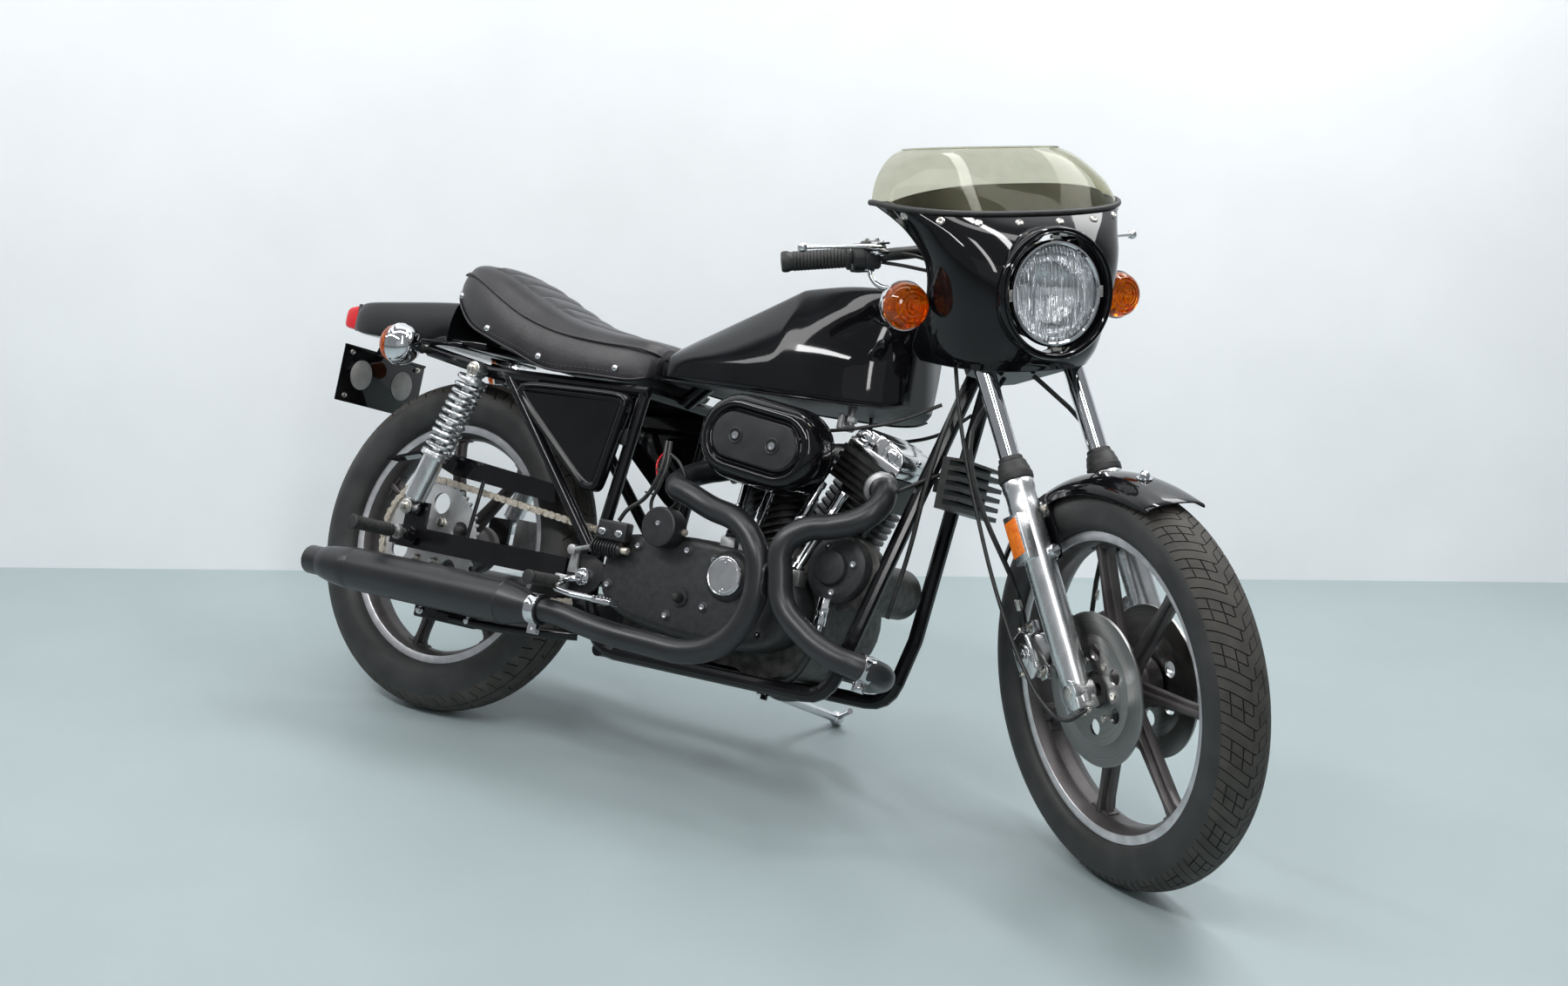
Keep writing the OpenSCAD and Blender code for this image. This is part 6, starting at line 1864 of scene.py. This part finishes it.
def makeFeet():
    pegs = []
    for name, radius in (("peg", 0.0135), ("rearPeg", 0.0145)):
        start, end = feet[name]
        pegs.append(ribbedPeg(start, end, radius))
    finish(pegs, "footPegs", onBike, "rubber", stands="foot_controls", smooth=28, slot="control_rubber",
        both=True)
    joints = [rod((0.404, 0.146, 0.308), (0.404, 0.178, 0.308), 0.0095, sides=24, edge=0.001),
        block((0.39, 0.152, 0.294), (0.418, 0.168, 0.324), 0.003), rod((-0.026, 0.136, 0.339),
        (-0.0305, 0.17, 0.34), 0.0095, sides=24, edge=0.001), rod((-0.0275, 0.146, 0.3394),
        (-0.029, 0.158, 0.3397), 0.015, sides=6, edge=0.0012)]
    finish(joints, "pegMounts", onBike, "castAlloy", smooth=32, both=True)
    arm = tube(feet["brake"], 0.0062, sides=14, smoothness=8)
    pad = block((0.528, -0.228, 0.2865), (0.572, -0.2, 0.295), 0.002)
    teeth = [block((0.531 + 0.0075 * k, -0.227, 0.2945), (0.5345 + 0.0075 * k, -0.201, 0.299), 0.0008)
        for k in range(6)]
    boss = rod((0.44, -0.132, 0.326), (0.44, -0.152, 0.326), 0.0165, sides=32, edge=0.002)
    finish([arm, pad, boss] + teeth, "brakePedal", onBike, "chrome", smooth=35)
    lever = tube(feet["shift"], 0.0058, sides=14, smoothness=8)
    hub = rod((0.448, 0.134, 0.322), (0.448, 0.156, 0.322), 0.0135, sides=28, edge=0.002)
    finish([lever, hub], "shiftLever", onBike, "chrome", smooth=35)
    toe = ribbedPeg((0.544, 0.184, 0.312), (0.546, 0.222, 0.312), 0.01)
    finish(toe, "shiftToe", onBike, "rubber", smooth=30)
    plate = slab(rounded([(0.392, 0.296), (0.44, 0.286), (0.48, 0.318), (0.484, 0.352), (0.44, 0.372),
        (0.398, 0.356)], 0, 1), -0.141, -0.134, edge=0.0015)
    tank = block((0.47, -0.174, 0.402), (0.536, -0.15, 0.438), 0.004, 3)
    barrel = turned([(0, 0), (0.0105, 0), (0.0115, 0.002), (0.0115, 0.062), (0.0095, 0.066), (0, 0.066)],
        (0.46, -0.162, 0.386), (1, 0, 0.02), 32)
    ribs = [turned([(0.0105, 0), (0.0155, 0.0006), (0.0155, 0.0026), (0.0105, 0.0032), (0.0105, 0)],
        (0.466 + 0.0064 * k, -0.162, 0.3861), (1, 0, 0.02), 28) for k in range(9)]
    web = block((0.476, -0.1665, 0.388), (0.528, -0.1575, 0.404), 0.002)
    canister = turned([(0, 0), (0.037, 0), (0.037, 0.032), (0.0362, 0.0365), (0.0335, 0.0385),
        (0, 0.0388)], (0.612, -0.1475, 0.442), (0, -1, 0), 64)
    finish([plate, tank, barrel, web, canister] + ribs, "masterCylinder", onBike, "satinBlack", smooth=34)
    bolts = [hexHead((x, -0.174, 0.416), (0, -1, 0), 0.01, 0.006) for x in (0.484, 0.522)]
    bolts.append(screwHead((0.612, -0.1862, 0.448), (0, -1, 0), 0.0048, 0.002))
    bolts.append(hexHead((0.44, -0.152, 0.326), (0, -1, 0), 0.016, 0.008))
    finish(bolts, "controlBolts", onBike, "chrome", smooth=32)
    brass = [rod((0.525, -0.162, 0.3873), (0.541, -0.162, 0.3876), 0.0065, sides=20, edge=0.001),
        rod((0.648, -0.156, 0.44), (0.656, -0.158, 0.44), 0.0065, sides=6, edge=0.0008)]
    finish(brass, "brassEnds", onBike, "chainGold", smooth=32)
    push = [rod((0.412, -0.156, 0.372), (0.462, -0.161, 0.386), 0.0045, sides=14),
        rod((0.412, -0.15, 0.372), (0.412, -0.162, 0.372), 0.0095, sides=20, edge=0.001),
        slab([(0.402, 0.33), (0.424, 0.33), (0.42, 0.38), (0.406, 0.38)], -0.15, -0.142, edge=0.002)]
    finish(push, "brakeRod", onBike, "castAlloy", smooth=32)


makeFeet()


# small engine pieces, wiring and hoses

def makeHoses():
    fitting = [rod((0.95, -0.128, 0.374), (0.949, -0.129, 0.35), 0.0115, sides=6, edge=0.001),
        rod((0.949, -0.129, 0.352), (0.9485, -0.1295, 0.34), 0.0095, sides=24, edge=0.001),
        rod((0.9485, -0.1295, 0.341), (0.948, -0.13, 0.326), 0.0105, sides=6, edge=0.001),
        rod((0.948, -0.13, 0.327), (0.946, -0.13, 0.306), 0.0062, sides=20, edge=0.0006)]
    finish(fitting, "breatherFitting", onBike, "chrome", smooth=32)
    runs = [([(0.946, -0.13, 0.308), (0.938, -0.126, 0.272), (0.905, -0.112, 0.226),
        (0.86, -0.092, 0.208), (0.8, -0.08, 0.212)], 0.0068), ([(0.92, -0.094, 0.196),
        (0.88, -0.086, 0.188), (0.83, -0.05, 0.19), (0.79, 0.01, 0.196)], 0.0062), ([(0.555, -0.128, 0.6),
        (0.56, -0.136, 0.56), (0.556, -0.14, 0.525), (0.54, -0.142, 0.49), (0.512, -0.15, 0.462),
        (0.5, -0.152, 0.44)], 0.004), ([(0.562, -0.128, 0.6), (0.572, -0.138, 0.555),
        (0.566, -0.143, 0.515), (0.556, -0.141, 0.48), (0.57, -0.14, 0.455)], 0.0034),
        ([(0.566, -0.132, 0.58), (0.6, -0.136, 0.56), (0.618, -0.132, 0.52), (0.6, -0.128, 0.488),
        (0.58, -0.13, 0.47)], 0.003), ([(1.096, -0.05, 0.628), (1.06, -0.08, 0.6), (1.01, -0.09, 0.56),
        (0.98, -0.092, 0.49)], 0.0038), ([(1.1, -0.06, 0.78), (1.088, -0.075, 0.7), (1.078, -0.084, 0.6),
        (1.07, -0.086, 0.48), (1.052, -0.084, 0.36)], 0.0042), ([(1.06, -0.052, 0.742),
        (1.000, -0.086, 0.7), (0.93, -0.1, 0.676), (0.86, -0.09, 0.664)], 0.0034),
        ([(1.066, 0.052, 0.742), (1.000, 0.08, 0.706), (0.92, 0.092, 0.682), (0.84, 0.072, 0.666)],
        0.0034), ([(0.86, 0.06, 0.72), (0.85, 0.076, 0.69), (0.836, 0.05, 0.656), (0.826, 0.01, 0.64)],
        0.0048)]
    finish([tube(path, radius, sides=10, smoothness=8) for path, radius in runs], "hosesAndWires", onBike,
        "hose", smooth=50)
    ties = [turned([(0.0075, -0.0015), (0.009, -0.0015), (0.009, 0.0015), (0.0075, 0.0015),
        (0.0075, -0.0015)], spot, (0.1, 0, 1), 20) for spot in ((0.558, -0.138, 0.545),
        (0.548, -0.142, 0.5))]
    finish(ties, "cableTies", onBike, "rubber", smooth=40)
    red = tube([(0.556, -0.126, 0.585), (0.545, -0.132, 0.56), (0.552, -0.136, 0.535)], 0.0016, sides=8,
        smoothness=8)
    finish(red, "redWire", onBike, "redLens", smooth=50)
    tap = [rod((0.885, -0.052, 0.716), (0.885, -0.052, 0.672), 0.008, sides=24, edge=0.001),
        rod((0.885, -0.052, 0.7), (0.885, -0.052, 0.688), 0.012, sides=6, edge=0.001),
        rod((0.885, -0.04, 0.68), (0.885, -0.082, 0.68), 0.0066, sides=20, edge=0.001),
        block((0.88, -0.09, 0.672), (0.89, -0.08, 0.7), 0.002)]
    finish(tap, "fuelTap", onBike, "castAlloy", smooth=32)


makeHoses()
print("rear end, controls and hoses made")

# floor, backdrop, light and camera

studio = {
    "floor": (0.335, 0.402, 0.412),
    "wall": (0.86, 0.88, 0.9),
    "wallDistance": 4.85,       # from the camera
    "cameraPlace": (2.05656, -3.10934, 1.45615),
    "cameraTurn": (75.5896, -0.5776, 33.6),
    "lens": 46.83,
    "worldStrength": 0.18,
    "worldInGloss": 0.12,       # added for what polished metal mirrors
    "worldInView": 0.6,         # added for what the camera sees past the floor
    "floorSize": 26, "wallSize": (24, 6), "wallWashPower": 84, "wallWashShift": 1.4,
    "lights": {     # place, target, size, power
        "ceilingLeft": ((-0.7, -2.4, 3.3), (-0.1, 0.0, 0.4), (3.6, 0.22), 72),
        "ceilingMiddle": ((0.7, 0.9, 3.5), (0.2, 0.0, 0.4), (3.4, 0.2), 52),
        "ceilingFront": ((2.4, -2.2, 3.1), (0.4, 0.0, 0.5), (0.3, 3.4), 48),
        "fill": ((4.6, -5.6, 2.6), (0.2, 0.0, 0.5), (6.0, 3.6), 14),
    },
    "leftSide": ((0.9, 1.35, 2.3), (0.1, 0.1, 0.5), (2.4, 0.4), 20),
}


def plainSurface(name, tone, rough):
    made, tree, surface, where = newSurface(name)
    noise = addNode(tree, "TexNoise", Scale=3, Detail=8)
    link(where, "Object", noise, "Vector")
    tinted(tree, noise, [c * 0.93 for c in tone], [min(c * 1.07, 1) for c in tone], surface)
    surface.inputs["Roughness"].default_value = rough
    return made


eye = Vector(studio["cameraPlace"])
heading = math.radians(studio["cameraTurn"][2])
ahead = Vector((-math.sin(heading), math.cos(heading), 0))
wallMiddle = Vector((eye.x, eye.y, 0)) + ahead * studio["wallDistance"]
clearSelection()
bpy.ops.mesh.primitive_plane_add(size=1)
floor = bpy.context.object
floor.name = "studioFloor"
floor.data.transform(Matrix.Translation(wallMiddle) @ turn(studio["cameraTurn"][2], "Z")
    @ Matrix.Diagonal((studio["floorSize"], studio["floorSize"], 1, 1)))
floor.data.materials.append(plainSurface("studioFloor", studio["floor"], 0.42))
clearSelection()
bpy.ops.mesh.primitive_plane_add(size=1)
wall = bpy.context.object
wall.name = "studioWall"
wall.data.transform(Matrix.Translation(wallMiddle) @ turn(studio["cameraTurn"][2], "Z") @ turn(90, "X")
    @ Matrix.Diagonal((*studio["wallSize"], 1, 1)) @ shiftBy(0, 0.5, 0))
wall.data.materials.append(plainSurface("studioWall", studio["wall"], 0.9))
# the wall shows only from its front, so the left side can be seen too
tree = wall.data.materials[0].node_tree
side = addNode(tree, "NewGeometry")
through = addNode(tree, "BsdfTransparent")
either = addNode(tree, "MixShader")
link(side, "Backfacing", either, "Fac")
tree.links.new(tree.nodes["Principled BSDF"].outputs["BSDF"], either.inputs[1])
link(through, "BSDF", either, 2)
tree.links.new(either.outputs["Shader"], tree.nodes["Material Output"].inputs["Surface"])


def softLight(name, place, target, size, power):
    clearSelection()
    bpy.ops.object.light_add(type="AREA", location=place)
    lamp = bpy.context.object
    lamp.name = name
    lamp.data.shape = "RECTANGLE"
    lamp.data.size, lamp.data.size_y = size
    lamp.data.energy = power
    lamp.rotation_mode = "QUATERNION"
    lamp.rotation_quaternion = (Vector(target) - Vector(place)).to_track_quat("-Z", "Y")


for name, settings in studio["lights"].items():
    softLight(name, *settings)
leftward = Vector((-ahead.y, ahead.x, 0))
softLight("wallWash", wallMiddle - ahead * 1.2 + leftward * studio["wallWashShift"] + Vector((0, 0, 3.6)),
    wallMiddle + leftward * studio["wallWashShift"] + Vector((0, 0, 1.2)), (9.0, 0.5),
    studio["wallWashPower"])
softLight("leftSide", *studio["leftSide"])
world = bpy.data.worlds.new("studioWorld")
bpy.context.scene.world = world
world.use_nodes = True
tree = world.node_tree
background = tree.nodes["Background"]
background.inputs["Color"].default_value = (0.92, 0.96, 1.0, 1)
rays = addNode(tree, "LightPath")
seen = addNode(tree, "Math")
seen.operation = "MAXIMUM"
link(rays, "Is Camera Ray", seen, 0)
link(rays, "Is Transmission Ray", seen, 1)
mirror = addNode(tree, "Math")
mirror.operation = "MULTIPLY_ADD"
mirror.inputs[1].default_value = studio["worldInGloss"]
mirror.inputs[2].default_value = studio["worldStrength"]
link(rays, "Is Glossy Ray", mirror, 0)
total = addNode(tree, "Math")
total.operation = "MULTIPLY_ADD"
total.inputs[1].default_value = studio["worldInView"]
link(seen, "Value", total, 0)
link(mirror, "Value", total, 2)
link(total, "Value", background, "Strength")
bpy.context.scene.view_settings.view_transform = "Standard"

clearSelection()
bpy.ops.object.camera_add(location=studio["cameraPlace"], rotation=[math.radians(a)
    for a in studio["cameraTurn"]])
camera = bpy.context.object
camera.data.lens = studio["lens"]
camera.data.sensor_width = 36
camera.data.dof.use_dof = False
bpy.context.scene.camera = camera
print("studio ready")

bpy.context.view_layer.update()
